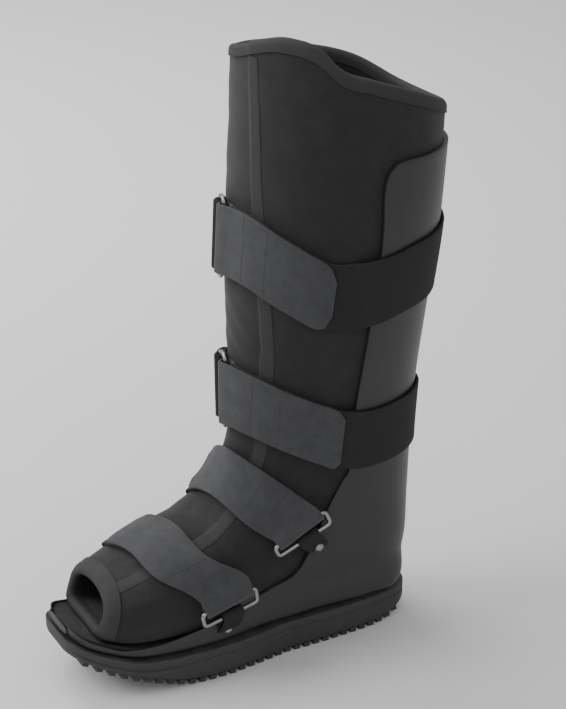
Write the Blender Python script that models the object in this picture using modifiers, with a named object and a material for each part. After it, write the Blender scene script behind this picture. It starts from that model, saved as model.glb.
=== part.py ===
# Walking boot: a padded boot liner held by straps in a stiff rear shell on a rocker sole.
# Metres, +Z up, toe towards -Y, the wearer's left side towards +X, origin under the middle.
import math
from collections import namedtuple

import bmesh
import bpy
import numpy as np
from mathutils import Matrix, Vector

OBJECT_NAME = "walking_boot"

# sole
SOLE_LENGTH = 0.290
SOLE_WIDTH = 0.114
SOLE_HEIGHT = 0.0265
TOE_RISE = 0.031
TOE_EDGE = 0.0135
HEEL_RISE = 0.008
TREAD_PITCH = 0.0085
TREAD_DEPTH = 0.003
SOLE_CHAMFER = 0.003

# liner and the leg space that it lines
LINER_HEIGHT = 0.436
LEG_WIDTH = 0.150
LEG_DEPTH = 0.151
BALL_WIDTH = 0.102
INSTEP_HEIGHT = 0.134
LINER_WALL = 0.008
FLAP_STEP = 0.002

# shell and footbed
SHELL_WALL = 0.0035
SHELL_HEIGHT = 0.3655
TOE_RIM = 0.004
FOOTBED = 0.003

# straps, rings and rivets
STRAP_THICKNESS = 0.0024
CALF_STRAP_WIDTH = 0.052
SHIN_STRAP_WIDTH = 0.050
INSTEP_STRAP_WIDTH = 0.041
FOREFOOT_STRAP_WIDTH = 0.040
RING_WIRE = 0.0034
RING_SIDE_ROOM = 0.0015
RING_SPAN = 0.0105
KEEPER_WIDTH = 0.018
KEEPER_THICKNESS = 0.0014
KEEPER_LENGTH = 0.0155
FOLD_RUN = 0.010
SEWN_END = 0.028
RIVET_INSET = 0.0045
RIVET_RADIUS = 0.0036
RIVET_HEIGHT = 0.0022

# clearances between pieces that touch
GAP = 0.0004
SEAT = 0.0006
KEEPER_SEAT = 0.0012
BAR_ROOM = 0.0009

# the toe's and the heel's distances from the sole's middle, as shares of its length
TOE_SHARE = 0.507
HEEL_SHARE = 1 - TOE_SHARE

# height of the foot's floor over the sole's upper face
FLOOR_STACK = SHELL_WALL + FOOTBED + 3 * GAP

# half of the sole's outline as shares of its length and half width, toe to heel
SoleStation = namedtuple("SoleStation", "along side")
SOLE_SIDES = [
    SoleStation(-0.50, 0.95), SoleStation(-0.38, 0.98), SoleStation(-0.23, 1.00),
    SoleStation(-0.08, 0.95), SoleStation(0.10, 0.79), SoleStation(0.30, 0.80),
    SoleStation(0.50, 0.84),
]

# Sections of the leg and foot form, toe to top. Each one is a slice from a point on the sole or
# back line to a point on the front line. Lengths along the sole are shares of SOLE_LENGTH,
# heights above the liner's floor are shares of LINER_HEIGHT, and the front point is reached by a
# share of SOLE_LENGTH in the foot and of LEG_DEPTH in the leg.
Section = namedtuple("Section", "back_along back_up foot_run leg_run instep_up leg_up ball_half leg_half square")
SECTIONS = [
    Section(-0.488, 0.000, 0.017, 0.000, 0.21, 0.000, 0.221, 0.000, 5.0),
    Section(-0.462, 0.000, 0.034, 0.000, 0.27, 0.000, 0.304, 0.000, 5.0),
    Section(-0.421, 0.000, 0.041, 0.000, 0.31, 0.000, 0.368, 0.000, 5.0),
    Section(-0.345, 0.000, 0.034, 0.000, 0.42, 0.000, 0.441, 0.000, 5.0),
    Section(-0.241, 0.000, 0.028, 0.000, 0.51, 0.000, 0.490, 0.000, 4.5),
    Section(-0.117, 0.000, 0.007, 0.000, 0.60, 0.000, 0.500, 0.000, 4.0),
    Section(0.021, 0.000, -0.062, 0.000, 0.745, 0.000, 0.451, 0.000, 3.6),
    Section(0.186, 0.000, -0.190, 0.000, 0.91, 0.000, 0.426, 0.000, 3.4),
    Section(0.345, 0.000, -0.221, -0.225, 1.045, 0.000, 0.422, 0.000, 3.2),
    Section(0.441, 0.009, -0.170, -0.500, 1.149, 0.000, 0.426, 0.000, 3.0),
    Section(0.479, 0.064, -0.100, -0.708, 0.60, 0.201, 0.300, 0.096, 2.8),
    Section(0.486, 0.161, 0.000, -0.914, 0.40, 0.304, 0.200, 0.191, 2.5),
    Section(0.490, 0.275, 0.000, -0.921, 0.20, 0.421, 0.100, 0.295, 2.3),
    Section(0.497, 0.390, 0.000, -0.934, 0.00, 0.546, 0.000, 0.407, 2.2),
    Section(0.517, 0.523, 0.000, -0.967, 0.00, 0.633, 0.000, 0.447, 2.2),
    Section(0.541, 0.661, 0.000, -0.993, 0.00, 0.748, 0.000, 0.480, 2.2),
    Section(0.555, 0.794, 0.000, -1.000, 0.00, 0.874, 0.000, 0.493, 2.2),
    Section(0.562, 0.890, 0.000, -1.000, 0.00, 1.000, 0.000, 0.500, 2.2),
    Section(0.569, 0.984, 0.000, -1.000, 0.00, 1.096, 0.000, 0.502, 2.2),
]
MOUTH_ROW = 1.75
FRONT_SQUARE = 2.2

# Front and top edge of the shell, toe to top: shares of SOLE_LENGTH along the sole, and of
# SHELL_HEIGHT above the sole's upper face.
EdgePoint = namedtuple("EdgePoint", "along up")
SHELL_EDGE = [
    EdgePoint(-0.372, 0.022), EdgePoint(-0.279, 0.0356), EdgePoint(-0.169, 0.054),
    EdgePoint(-0.124, 0.062), EdgePoint(-0.100, 0.095), EdgePoint(-0.072, 0.115),
    EdgePoint(-0.034, 0.113), EdgePoint(-0.012, 0.088), EdgePoint(0.041, 0.097),
    EdgePoint(0.117, 0.122), EdgePoint(0.186, 0.223), EdgePoint(0.241, 0.310),
    EdgePoint(0.255, 0.343), EdgePoint(0.255, 0.500), EdgePoint(0.272, 0.677),
    EdgePoint(0.288, 0.844), EdgePoint(0.287, 0.930), EdgePoint(0.296, 0.975),
    EdgePoint(0.325, 0.997), EdgePoint(0.400, 1.000), EdgePoint(0.600, 1.000),
]

# Row of the liner's top edge by angle, and angle of the front flap's free edge by row. Angles
# are in degrees from the back line, positive on the wearer's left.
RimPoint = namedtuple("RimPoint", "angle row")
LINER_RIM = [
    RimPoint(-180, 16.88), RimPoint(-140, 16.80), RimPoint(-100, 16.92), RimPoint(-50, 17.00),
    RimPoint(-25, 16.85), RimPoint(30, 16.85), RimPoint(75, 16.97), RimPoint(100, 17.00),
    RimPoint(114, 17.02), RimPoint(124, 17.22), RimPoint(138, 17.24), RimPoint(156, 17.10),
    RimPoint(172, 16.95), RimPoint(180, 16.88),
]
FLAP_EDGE = [RimPoint(150, 2.0), RimPoint(150, 12.4), RimPoint(155, 13.6), RimPoint(167, 15.3), RimPoint(174, 17.0)]
FLAP_COLUMN = 165.0

# Centre row of each strap by angle, from the far side round the back or over the front.
CALF_ROUTE = [
    RimPoint(-170, 14.30), RimPoint(-120, 14.10), RimPoint(-90, 14.20), RimPoint(-46, 14.65),
    RimPoint(0, 14.80), RimPoint(46, 14.62), RimPoint(72, 14.42), RimPoint(90, 14.18),
    RimPoint(110, 13.97), RimPoint(135, 14.12), RimPoint(160, 14.28), RimPoint(190, 14.28),
]
SHIN_ROUTE = [
    RimPoint(-170, 10.08), RimPoint(-122, 10.80), RimPoint(-90, 11.35), RimPoint(-46, 12.25),
    RimPoint(0, 12.44), RimPoint(46, 12.25), RimPoint(82, 11.60), RimPoint(94, 11.25),
    RimPoint(122, 10.78), RimPoint(165, 10.10), RimPoint(190, 9.93),
]
INSTEP_ROUTE = [
    RimPoint(60, 7.60), RimPoint(90, 7.55), RimPoint(130, 6.90), RimPoint(180, 6.45),
    RimPoint(204, 6.25), RimPoint(240, 6.40), RimPoint(270, 6.90), RimPoint(300, 7.20),
]
FOREFOOT_ROUTE = [
    RimPoint(50, 5.10), RimPoint(86, 5.05), RimPoint(130, 4.05), RimPoint(180, 3.75),
    RimPoint(204, 3.60), RimPoint(235, 3.70), RimPoint(270, 4.10), RimPoint(310, 4.40),
]

FORM_COLUMNS = 32
BAND_CUTS = 2
STRAP_STEP = 0.013
STRAP_TURN = 0.25
FORM_ROWS = [MOUTH_ROW, 2.3, 3, 4, 5, 5.5, 6, 6.5, 7, 8, 8.7, 9.3, 9.8, 10.4, 11, 12, 13, 14, 15, 16]
SHELL_ROWS = [0, 0.5, 1] + FORM_ROWS + [17.4]
FOOTBED_ROWS = [0.12, 0.5, 1] + FORM_ROWS[:10]

# colour, roughness and metallic value of each finish
RUBBER = ((0.018, 0.018, 0.019, 1.0), 0.75, 0.0)
PLASTIC = ((0.036, 0.036, 0.038, 1.0), 0.50, 0.0)
FOAM_CLOTH = ((0.022, 0.022, 0.024, 1.0), 0.95, 0.0)
PAD_TOP = ((0.030, 0.030, 0.032, 1.0), 0.90, 0.0)
WEBBING = ((0.060, 0.060, 0.066, 1.0), 0.85, 0.0)
STEEL = ((0.62, 0.62, 0.63, 1.0), 0.28, 1.0)


def material(name, finish):
    colour, roughness, metallic = finish
    made = bpy.data.materials.new(name)
    made.use_nodes = True
    shader = made.node_tree.nodes["Principled BSDF"]
    shader.inputs["Base Color"].default_value = colour
    shader.inputs["Roughness"].default_value = roughness
    shader.inputs["Metallic"].default_value = metallic
    return made


def clear_scene():
    for thing in list(bpy.data.objects):
        bpy.data.objects.remove(thing, do_unlink=True)


def new_collection(name):
    made = bpy.data.collections.new(name)
    bpy.context.scene.collection.children.link(made)
    return made


def grown(y, start, stop, power):
    return np.clip((y - start) / (stop - start), 0.0, None) ** power


def smooth(x):
    x = np.clip(x, 0.0, 1.0)
    return x * x * (3.0 - 2.0 * x)


def catmull(table, where):
    """Smooth curve through the rows of a table, read at row numbers."""
    last = len(table) - 1
    x = np.clip(np.asarray(where, float), 0.0, last - 1e-9)
    i = x.astype(int)
    t = (x - i)[..., None]
    p0, p1, p2, p3 = (table[np.clip(i + k, 0, last)] for k in (-1, 0, 1, 2))
    return 0.5 * (2 * p1 + (p2 - p0) * t + (2 * p0 - 5 * p1 + 4 * p2 - p3) * t * t
                  + (3 * p1 - p0 - 3 * p2 + p3) * t ** 3)


def tread_z(y):
    """Height of the sole's underside: flat in the middle, a rocker at the toe, a lift at the heel."""
    share = np.asarray(y) / SOLE_LENGTH
    return TOE_RISE * grown(-share, 0.138, 0.507, 1.7) + HEEL_RISE * grown(share, 0.35, 0.493, 2.0)


def sole_z(y):
    """Height of the sole's upper face, which turns up at the toe with the rocker."""
    share = np.asarray(y) / SOLE_LENGTH
    return SOLE_HEIGHT + (TOE_RISE + TOE_EDGE - SOLE_HEIGHT) * grown(-share, 0.310, 0.507, 1.5)


def sole_half(y):
    """Half width of the sole's outline, a blunt toe and a blunt heel."""
    share = np.clip(np.asarray(y) / SOLE_LENGTH, -TOE_SHARE, HEEL_SHARE)
    side = np.interp(share, [s.along for s in SOLE_SIDES], [s.side for s in SOLE_SIDES])
    middle = (HEEL_SHARE - TOE_SHARE) / 2
    reach = np.abs(share - middle) / ((TOE_SHARE + HEEL_SHARE) / 2)
    return SOLE_WIDTH / 2 * side * np.clip(1 - reach ** 2.5, 0.0, None) ** 0.25


def form_table():
    rows = []
    for s in SECTIONS:
        back_y = s.back_along * SOLE_LENGTH
        floor = float(sole_z(back_y)) + FLOOR_STACK
        front_y = back_y + s.foot_run * SOLE_LENGTH + s.leg_run * LEG_DEPTH
        front_z = floor + s.instep_up * INSTEP_HEIGHT + s.leg_up * LINER_HEIGHT
        half = s.ball_half * BALL_WIDTH + s.leg_half * LEG_WIDTH
        rows.append([back_y, floor + s.back_up * LINER_HEIGHT, front_y, front_z, half, s.square])
    return np.array(rows)


FORM = form_table()


def form_point(row, angle, inset=0.0):
    """Point of the leg and foot form at a row and an angle in radians, inset towards its middle."""
    row, angle = np.broadcast_arrays(np.asarray(row, float), np.asarray(angle, float))
    s = catmull(FORM, row)
    back, front, half, square = s[..., 0:2], s[..., 2:4], s[..., 4] - inset, s[..., 5]
    run = front - back
    depth = np.linalg.norm(run, axis=-1)
    run = run / depth[..., None]
    c, n = np.cos(angle), np.sin(angle)
    power = np.where(c > 0, 2 / square, 2 / FRONT_SQUARE)
    x = half * np.sign(n) * np.abs(n) ** power
    along = depth / 2 - (depth / 2 - inset) * np.sign(c) * np.abs(c) ** power
    return np.stack([x, back[..., 0] + run[..., 0] * along, back[..., 1] + run[..., 1] * along], -1)


def form_normal(row, angle):
    step = 0.02
    last = len(SECTIONS) - 1
    up = form_point(np.minimum(row + step, last), angle) - form_point(np.maximum(row - step, 0), angle)
    round_ = form_point(row, angle + step) - form_point(row, angle - step)
    normal = np.cross(up, round_)
    return normal / np.linalg.norm(normal, axis=-1)[..., None]


def skin(row, angle, offset):
    """Point outside the form by an offset along its normal."""
    row, angle, offset = np.broadcast_arrays(
        np.asarray(row, float), np.asarray(angle, float), np.asarray(offset, float))
    return form_point(row, angle) + form_normal(row, angle) * offset[..., None]


def edge_outline():
    """The shell's free edge in the side view, from beyond the toe to beyond the back."""
    rim_z = SHELL_WALL + TOE_RIM + GAP
    toe = [(-0.60 * SOLE_LENGTH, float(sole_z(-TOE_SHARE * SOLE_LENGTH)) + rim_z)]
    for share in (-TOE_SHARE, -0.46, -0.42):
        toe.append((share * SOLE_LENGTH, float(sole_z(share * SOLE_LENGTH)) + rim_z))
    knots = [(p.along * SOLE_LENGTH, float(sole_z(p.along * SOLE_LENGTH)) + p.up * SHELL_HEIGHT)
             for p in SHELL_EDGE]
    end = [(0.9 * SOLE_LENGTH, knots[-1][1])]
    table = np.array(toe + knots + end)
    return catmull(table, np.linspace(0, len(table) - 1, 3 * (len(table) - 1) + 1))


EDGE = edge_outline()
EDGE_REGION = np.vstack([EDGE, [[EDGE[-1, 0], 2 * LINER_HEIGHT], [EDGE[0, 0], 2 * LINER_HEIGHT]]])


def shell_depth(y, z):
    """Distance from the shell's free edge in the side view, positive where there is shell."""
    y, z = np.asarray(y, float), np.asarray(z, float)
    a, b = EDGE[:-1], EDGE[1:]
    span = b - a
    share = ((y[..., None] - a[:, 0]) * span[:, 0] + (z[..., None] - a[:, 1]) * span[:, 1]) / (span ** 2).sum(1)
    share = np.clip(share, 0, 1)
    away = np.hypot(y[..., None] - a[:, 0] - share * span[:, 0], z[..., None] - a[:, 1] - share * span[:, 1])
    crossings = np.zeros(y.shape, int)
    for p, q in zip(EDGE_REGION, np.roll(EDGE_REGION, -1, axis=0)):
        spans = (p[1] > z) != (q[1] > z)
        rise = q[1] - p[1] if q[1] != p[1] else 1.0
        crossings += spans & (y < p[0] + (z - p[1]) / rise * (q[0] - p[0]))
    return np.where(crossings % 2 == 1, -1.0, 1.0) * away.min(-1)


def row_at(points, angle):
    """Row of a table of angles and rows, read on a smooth curve at an angle in degrees."""
    angles = np.array([p.angle for p in points], float)
    rows = np.array([p.row for p in points], float)
    slopes = np.gradient(rows, angles)
    x = np.clip(np.asarray(angle, float), angles[0], angles[-1])
    i = np.clip(np.searchsorted(angles, x, side="right") - 1, 0, len(angles) - 2)
    gap = angles[i + 1] - angles[i]
    t = (x - angles[i]) / gap
    blend = t * t * (3.0 - 2.0 * t)
    bend = t * (1.0 - t) * ((1.0 - t) * slopes[i] - t * slopes[i + 1]) * gap
    return rows[i] + blend * (rows[i + 1] - rows[i]) + bend


def flap_edge(row):
    return np.interp(row, [p.row for p in FLAP_EDGE], [p.angle for p in FLAP_EDGE])


def flap_height(row, degrees, past, fade):
    """Thickness that the overlapping front flap adds, fading past its free edge."""
    turned = np.mod(np.asarray(degrees, float) + 120.0, 360.0) - 120.0
    rising = smooth((turned - 95.0) / 40.0)
    falling = 1.0 - smooth((turned - flap_edge(row) - past) / fade)
    return FLAP_STEP * rising * falling * smooth((np.asarray(row, float) - 2.5) / 2.0)


def cover(row, angle):
    """Height over the form of what a strap lies on: the shell, the flap's overlap or the liner."""
    p = form_point(row, angle)
    behind = smooth((shell_depth(p[..., 1], p[..., 2]) + 0.021) / 0.011)
    shell = (GAP + SHELL_WALL) * behind
    return np.maximum(shell, flap_height(row, np.degrees(angle), 12.0, 25.0))


def mesh_object(name, verts, faces, finish, collection, crease=40.0):
    mesh = bpy.data.meshes.new(name)
    mesh.from_pydata([tuple(float(v) for v in p) for p in verts], [], faces)
    work = bmesh.new()
    work.from_mesh(mesh)
    bmesh.ops.recalc_face_normals(work, faces=work.faces)
    work.to_mesh(mesh)
    work.free()
    mesh.materials.append(material(name, finish))
    mesh.shade_smooth()
    mesh.set_sharp_from_angle(angle=math.radians(crease))
    made = bpy.data.objects.new(name, mesh)
    collection.objects.link(made)
    return made


def grid_faces(rows, columns, wrap):
    """Quads of a grid whose points are listed row by row."""
    faces = []
    for r in range(rows - 1):
        for c in range(columns if wrap else columns - 1):
            d = (c + 1) % columns
            faces.append((r * columns + c, r * columns + d, (r + 1) * columns + d, (r + 1) * columns + c))
    return faces


def walled_tube(outer, inner, closed_start):
    """Points and faces of a tube with a wall, open at its end and open or capped at its start."""
    rows, columns = outer.shape[:2]
    inner_rows = inner.shape[0]
    first = rows * columns
    verts = np.concatenate([outer.reshape(-1, 3), inner.reshape(-1, 3)])
    faces = grid_faces(rows, columns, True)
    faces += [tuple(first + i for i in reversed(f)) for f in grid_faces(inner_rows, columns, True)]
    top, inner_top = (rows - 1) * columns, first + (inner_rows - 1) * columns
    for c in range(columns):
        d = (c + 1) % columns
        faces.append((top + c, top + d, inner_top + d, inner_top + c))
        if not closed_start:
            faces.append((d, c, first + c, first + d))
    if closed_start:
        faces.append(tuple(reversed(range(columns))))
        faces.append(tuple(first + c for c in range(columns)))
    return verts, faces


def make_outsole(parts):
    """Rocker sole: slices along its length, stepped by cross grooves on the underside."""
    toe, heel = -TOE_SHARE * SOLE_LENGTH, HEEL_SHARE * SOLE_LENGTH
    end_room = 0.03 * SOLE_LENGTH
    count = int((heel - toe - 2 * end_room) / TREAD_PITCH)
    slices = [(toe + end_room * (1 - math.cos(k * math.pi / 8)), 0.0) for k in range(1, 4)]
    start = -(count * TREAD_PITCH) / 2 + (heel + toe) / 2
    wall = 0.12 * TREAD_PITCH
    for k in range(count):
        y = start + k * TREAD_PITCH
        slices += [(y + wall, 0.0), (y + 0.58 * TREAD_PITCH, 0.0)]
        slices += [(y + 0.58 * TREAD_PITCH + wall, TREAD_DEPTH), (y + TREAD_PITCH, TREAD_DEPTH)]
    slices.pop()
    slices.pop()
    slices += [(heel - end_room * (1 - math.cos(k * math.pi / 8)), 0.0) for k in range(3, 0, -1)]
    points = []
    for y, lift in slices:
        half = float(sole_half(y))
        low, high = float(tread_z(y)), float(sole_z(y))
        cut = min(SOLE_CHAMFER, 0.3 * half, 0.3 * (high - low))
        low += lift
        waist = low + 0.6 * (high - low)
        profile = [(half - cut, low), (half - 0.5 * cut, low + cut), (half, waist), (half, high)]
        loop = profile + [(-x, z) for x, z in reversed(profile)]
        points += [(x, y, z) for x, z in loop]
    ring = 2 * len(profile)
    faces = grid_faces(len(slices), ring, True)
    faces += [tuple(reversed(range(ring))), tuple(range((len(slices) - 1) * ring, len(slices) * ring))]
    return mesh_object("outsole", points, faces, RUBBER, parts)


def floor_drop(row, degrees, depth):
    """How far the shell's floor is lowered under the foot, to leave room for the footbed."""
    near_floor = 1.0 - smooth((np.abs(degrees) - 46.0) / 14.0)
    return depth * near_floor * (1.0 - smooth((row - 8.6) / 0.9))


def shell_surface(rows, offset):
    degrees = np.arange(FORM_COLUMNS) * 360.0 / FORM_COLUMNS - 180.0
    row, angle = np.meshgrid(np.array(rows, float), degrees, indexing="ij")
    points = skin(row, np.radians(angle), offset)
    points[..., 2] -= floor_drop(row, angle, FOOTBED + GAP)
    return points


def make_shell(parts, cutters):
    """Rear shell with its foot tray: a form-following wall whose front is cut away in side view."""
    outer = shell_surface(SHELL_ROWS, GAP + SHELL_WALL)
    inner = shell_surface(SHELL_ROWS, GAP)
    ahead = inner[0, :, 1] - SHELL_WALL
    outer[0, :, 2] += sole_z(ahead) - sole_z(inner[0, :, 1])
    outer[0, :, 1] = ahead
    verts, faces = walled_tube(outer, inner, True)
    shell = mesh_object("shell", verts, faces, PLASTIC, parts)
    opening = flat_outline("shell_opening", EDGE_REGION, LEG_WIDTH, cutters)
    cut = shell.modifiers.new("open_front", "BOOLEAN")
    cut.operation = "DIFFERENCE"
    cut.solver = "EXACT"
    cut.object = opening
    return shell


def flat_outline(name, outline, half_depth, collection):
    """A prism across the boot from an outline in the side view."""
    curve = bpy.data.curves.new(name, "CURVE")
    curve.dimensions = "2D"
    curve.fill_mode = "BOTH"
    curve.extrude = half_depth
    spline = curve.splines.new("POLY")
    spline.points.add(len(outline) - 1)
    for point, (y, z) in zip(spline.points, outline):
        point.co = (y, z, 0.0, 1.0)
    spline.use_cyclic_u = True
    made = bpy.data.objects.new(name, curve)
    made.matrix_world = Matrix(((0, 0, 1, 0), (1, 0, 0, 0), (0, 1, 0, 0), (0, 0, 0, 1)))
    collection.objects.link(made)
    solid = mesh_from_curve(made, collection)
    solid.hide_render = True
    solid.display_type = "WIRE"
    return solid


def mesh_from_curve(thing, collection):
    """The same shape as a welded mesh object, in the curve's place."""
    bpy.context.view_layer.update()
    graph = bpy.context.evaluated_depsgraph_get()
    mesh = bpy.data.meshes.new_from_object(thing.evaluated_get(graph))
    work = bmesh.new()
    work.from_mesh(mesh)
    bmesh.ops.remove_doubles(work, verts=work.verts, dist=1e-6)
    bmesh.ops.recalc_face_normals(work, faces=work.faces)
    work.to_mesh(mesh)
    work.free()
    name = thing.name
    place = thing.matrix_world.copy()
    bpy.data.objects.remove(thing, do_unlink=True)
    made = bpy.data.objects.new(name, mesh)
    made.matrix_world = place
    collection.objects.link(made)
    return made


def make_footbed(parts):
    """Thin pad that lines the shell's floor from the toe to the heel."""
    step = 360.0 / FORM_COLUMNS
    degrees = np.arange(-4, 5) * step
    row, angle = np.meshgrid(np.array(FOOTBED_ROWS, float), degrees, indexing="ij")
    top = form_point(row, np.radians(angle))
    top[..., 2] -= GAP
    low = top.copy()
    low[..., 2] -= FOOTBED
    ring = 2 * len(degrees)
    loops = np.concatenate([top, low[:, ::-1]], axis=1)
    return strip_object("footbed", loops, ring, PAD_TOP, parts)


def strip_object(name, loops, ring, finish, parts):
    """A closed strip from equal loops, capped at both ends."""
    count = len(loops)
    faces = grid_faces(count, ring, True)
    faces += [tuple(reversed(range(ring))), tuple(range((count - 1) * ring, count * ring))]
    return mesh_object(name, np.reshape(loops, (-1, 3)), faces, finish, parts)


def make_liner(parts):
    """Padded liner, a foot and leg tube open at the toe and the top, its front flap overlapping."""
    columns = np.arange(FORM_COLUMNS) * 360.0 / FORM_COLUMNS - 180.0
    columns = np.sort(np.append(columns, [FLAP_COLUMN, FLAP_COLUMN + 1.5]))
    top = row_at(LINER_RIM, columns)
    rows = np.array(FORM_ROWS)[:, None] * np.ones(len(columns))
    rows = np.vstack([rows, 0.5 * rows[-1] + 0.5 * top, top])
    turn = flap_edge(rows) - FLAP_COLUMN
    weight = smooth((columns - 100.0) / 50.0) + smooth((-columns - 130.0) / 50.0)
    degrees = columns[None, :] + turn * weight[None, :]
    radians = np.radians(degrees)
    raised = flap_height(rows, degrees, 0.0, 1.2)
    raised = np.where(columns[None, :] > FLAP_COLUMN + 1.0, 0.0, raised)
    outer = skin(rows, radians, raised)
    inner = form_point(rows, radians, LINER_WALL)
    verts, faces = walled_tube(outer, inner, False)
    return mesh_object("liner", verts, faces, FOAM_CLOTH, parts)


def row_pace(row, angle):
    """Distance along the surface for one row."""
    step = 0.05
    return np.linalg.norm(form_point(row + step, angle) - form_point(row - step, angle), axis=-1) / (2 * step)


def route_point(route, degrees):
    return form_point(row_at(route, degrees), np.radians(degrees))


def turned(route, degrees, distance):
    """Angle at a distance along a route from another angle, measured over the surface."""
    angles = degrees + math.copysign(1.0, distance) * np.linspace(0.0, 90.0, 361)
    steps = np.linalg.norm(np.diff(route_point(route, angles), axis=0), axis=1)
    return float(np.interp(abs(distance), np.append(0.0, np.cumsum(steps)), angles))


def stations(route, start, stop, through=None):
    """Angles from a start to a stop, closer together where the route bends, one of them set."""
    angles = np.linspace(start, stop, 721)
    steps = np.diff(route_point(route, angles), axis=0)
    length = np.linalg.norm(steps, axis=1)
    heading = steps / length[:, None]
    bend = np.arccos(np.clip((heading[1:] * heading[:-1]).sum(1), -1.0, 1.0))
    cost = np.maximum(length / STRAP_STEP, np.append(bend, 0.0) / STRAP_TURN)
    run = np.append(0.0, np.cumsum(cost))
    count = max(math.ceil(run[-1]), 1)
    places = np.interp(np.linspace(0.0, run[-1], count + 1), run, angles)
    if through is not None:
        nearest = 1 + int(np.argmin(np.abs(places[1:-1] - through)))
        places[nearest] = through
    return places


def across(route, degrees, lift, width, reach):
    """Points across a strap at one angle of its route, over the highest thing in its reach."""
    centre = float(row_at(route, degrees))
    angle = math.radians(degrees)
    shares = np.linspace(-0.5, 0.5, 2 * BAND_CUTS + 1)
    spans = shares * width / float(row_pace(centre, angle))
    spans *= width / np.linalg.norm(np.diff(form_point(centre + spans, angle), axis=0), axis=1).sum()
    rows = centre + spans
    under = float(cover(centre + spans * reach / width, angle).max()) + lift
    points = skin(rows, angle, under)
    normals = form_normal(rows, angle)
    bulge = ((points[1::2] - (points[0:-1:2] + points[2::2]) / 2) * normals[1::2]).sum(-1)
    return points[::2] + normals[::2] * max(float(bulge.max()), 0.0)


def laid(route, degrees, lift, width, reach):
    """Lines across a strap at a list of angles, raised until the runs between them clear."""
    lines = np.array([across(route, float(a), lift, width, reach) for a in degrees])
    normals = np.array([form_normal(row_at(route, float(a)), math.radians(a)) for a in degrees])
    rise = np.zeros(len(lines))
    for k in range(len(lines) - 1):
        halfway = across(route, float(degrees[k] + degrees[k + 1]) / 2, lift, width, reach)
        mean = (normals[k] + normals[k + 1]) / 2
        short = ((halfway - (lines[k] + lines[k + 1]) / 2) @ mean).max() / mean.dot(mean)
        rise[k:k + 2] = np.maximum(rise[k:k + 2], short)
    return lines + rise[:, None, None] * normals[:, None, :], normals[:, None, :]


Bar = namedtuple("Bar", "middle way ahead out")


def bar_on(route, degrees, lift, width):
    """A straight ring bar over a route: its middle, and its directions along, ahead and out."""
    before, here, after = (across(route, degrees + turn, lift, width, width) for turn in (-1.0, 0.0, 1.0))
    way = here[-1] - here[0]
    way /= np.linalg.norm(way)
    ahead = after.mean(0) - before.mean(0)
    ahead -= way * ahead.dot(way)
    ahead /= np.linalg.norm(ahead)
    out = np.cross(way, ahead)
    middle = (here[0] + here[-1]) / 2
    middle += out * max(float(((here - middle) @ out).max()), 0.0)
    return Bar(middle, way, ahead, out)


def round_bar(bar, radius, toward, width):
    """Lines across a strap where it folds half round a bar, from under it to past it on top."""
    places = [(math.cos(a), math.sin(a)) for a in np.linspace(-0.5, 0.5, 7) * math.pi]
    places.append((-RING_WIRE / radius, 1.0))
    across_bar = np.linspace(-0.5, 0.5, BAND_CUTS + 1)[:, None] * width * bar.way
    return [bar.middle + radius * (x * toward * bar.ahead + z * bar.out) + across_bar for x, z in places]


def band(name, lines, thickness, finish, parts):
    """A strap: a flat strip swept through lines across its width."""
    lines = np.array(lines)
    ahead = np.gradient(lines.mean(1), axis=0)
    out = np.cross(ahead, lines[:, -1] - lines[:, 0])
    out /= np.linalg.norm(out, axis=1)[:, None]
    half = out[:, None, :] * thickness / 2
    loops = np.concatenate([lines + half, (lines - half)[:, ::-1]], axis=1)
    return strip_object(name, loops, loops.shape[1], finish, parts)


def make_ring(name, front, rear, width, parts):
    """Rectangular wire ring with round corners: the strap folds round its front bar."""
    half = width / 2 + RING_SIDE_ROOM + RING_WIRE / 2
    back = rear.middle - front.middle
    back -= front.way * back.dot(front.way)
    across_gap = np.linalg.norm(back)
    corner = 0.7 * RING_WIRE
    curve = bpy.data.curves.new(name, "CURVE")
    curve.dimensions = "3D"
    curve.bevel_depth = RING_WIRE / 2
    curve.bevel_resolution = 2
    places = []
    for turn, along, side in ((0, 1, 1), (1, -1, 1), (2, -1, -1), (3, 1, -1)):
        for k in range(3):
            a = (turn + k / 2) * math.pi / 2
            places.append((along * (across_gap / 2 - corner) + corner * math.cos(a),
                           side * (half - corner) + corner * math.sin(a)))
    spline = curve.splines.new("POLY")
    spline.points.add(len(places) - 1)
    for (along, side), point in zip(places, spline.points):
        share = 0.5 + along / across_gap
        middle = front.middle + back * (1.0 - share)
        way = rear.way + (front.way - rear.way) * share
        point.co = (*(middle + way * side), 1.0)
    spline.use_cyclic_u = True
    curve.materials.append(material(name, STEEL))
    made = bpy.data.objects.new(name, curve)
    parts.objects.link(made)
    return made


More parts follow.
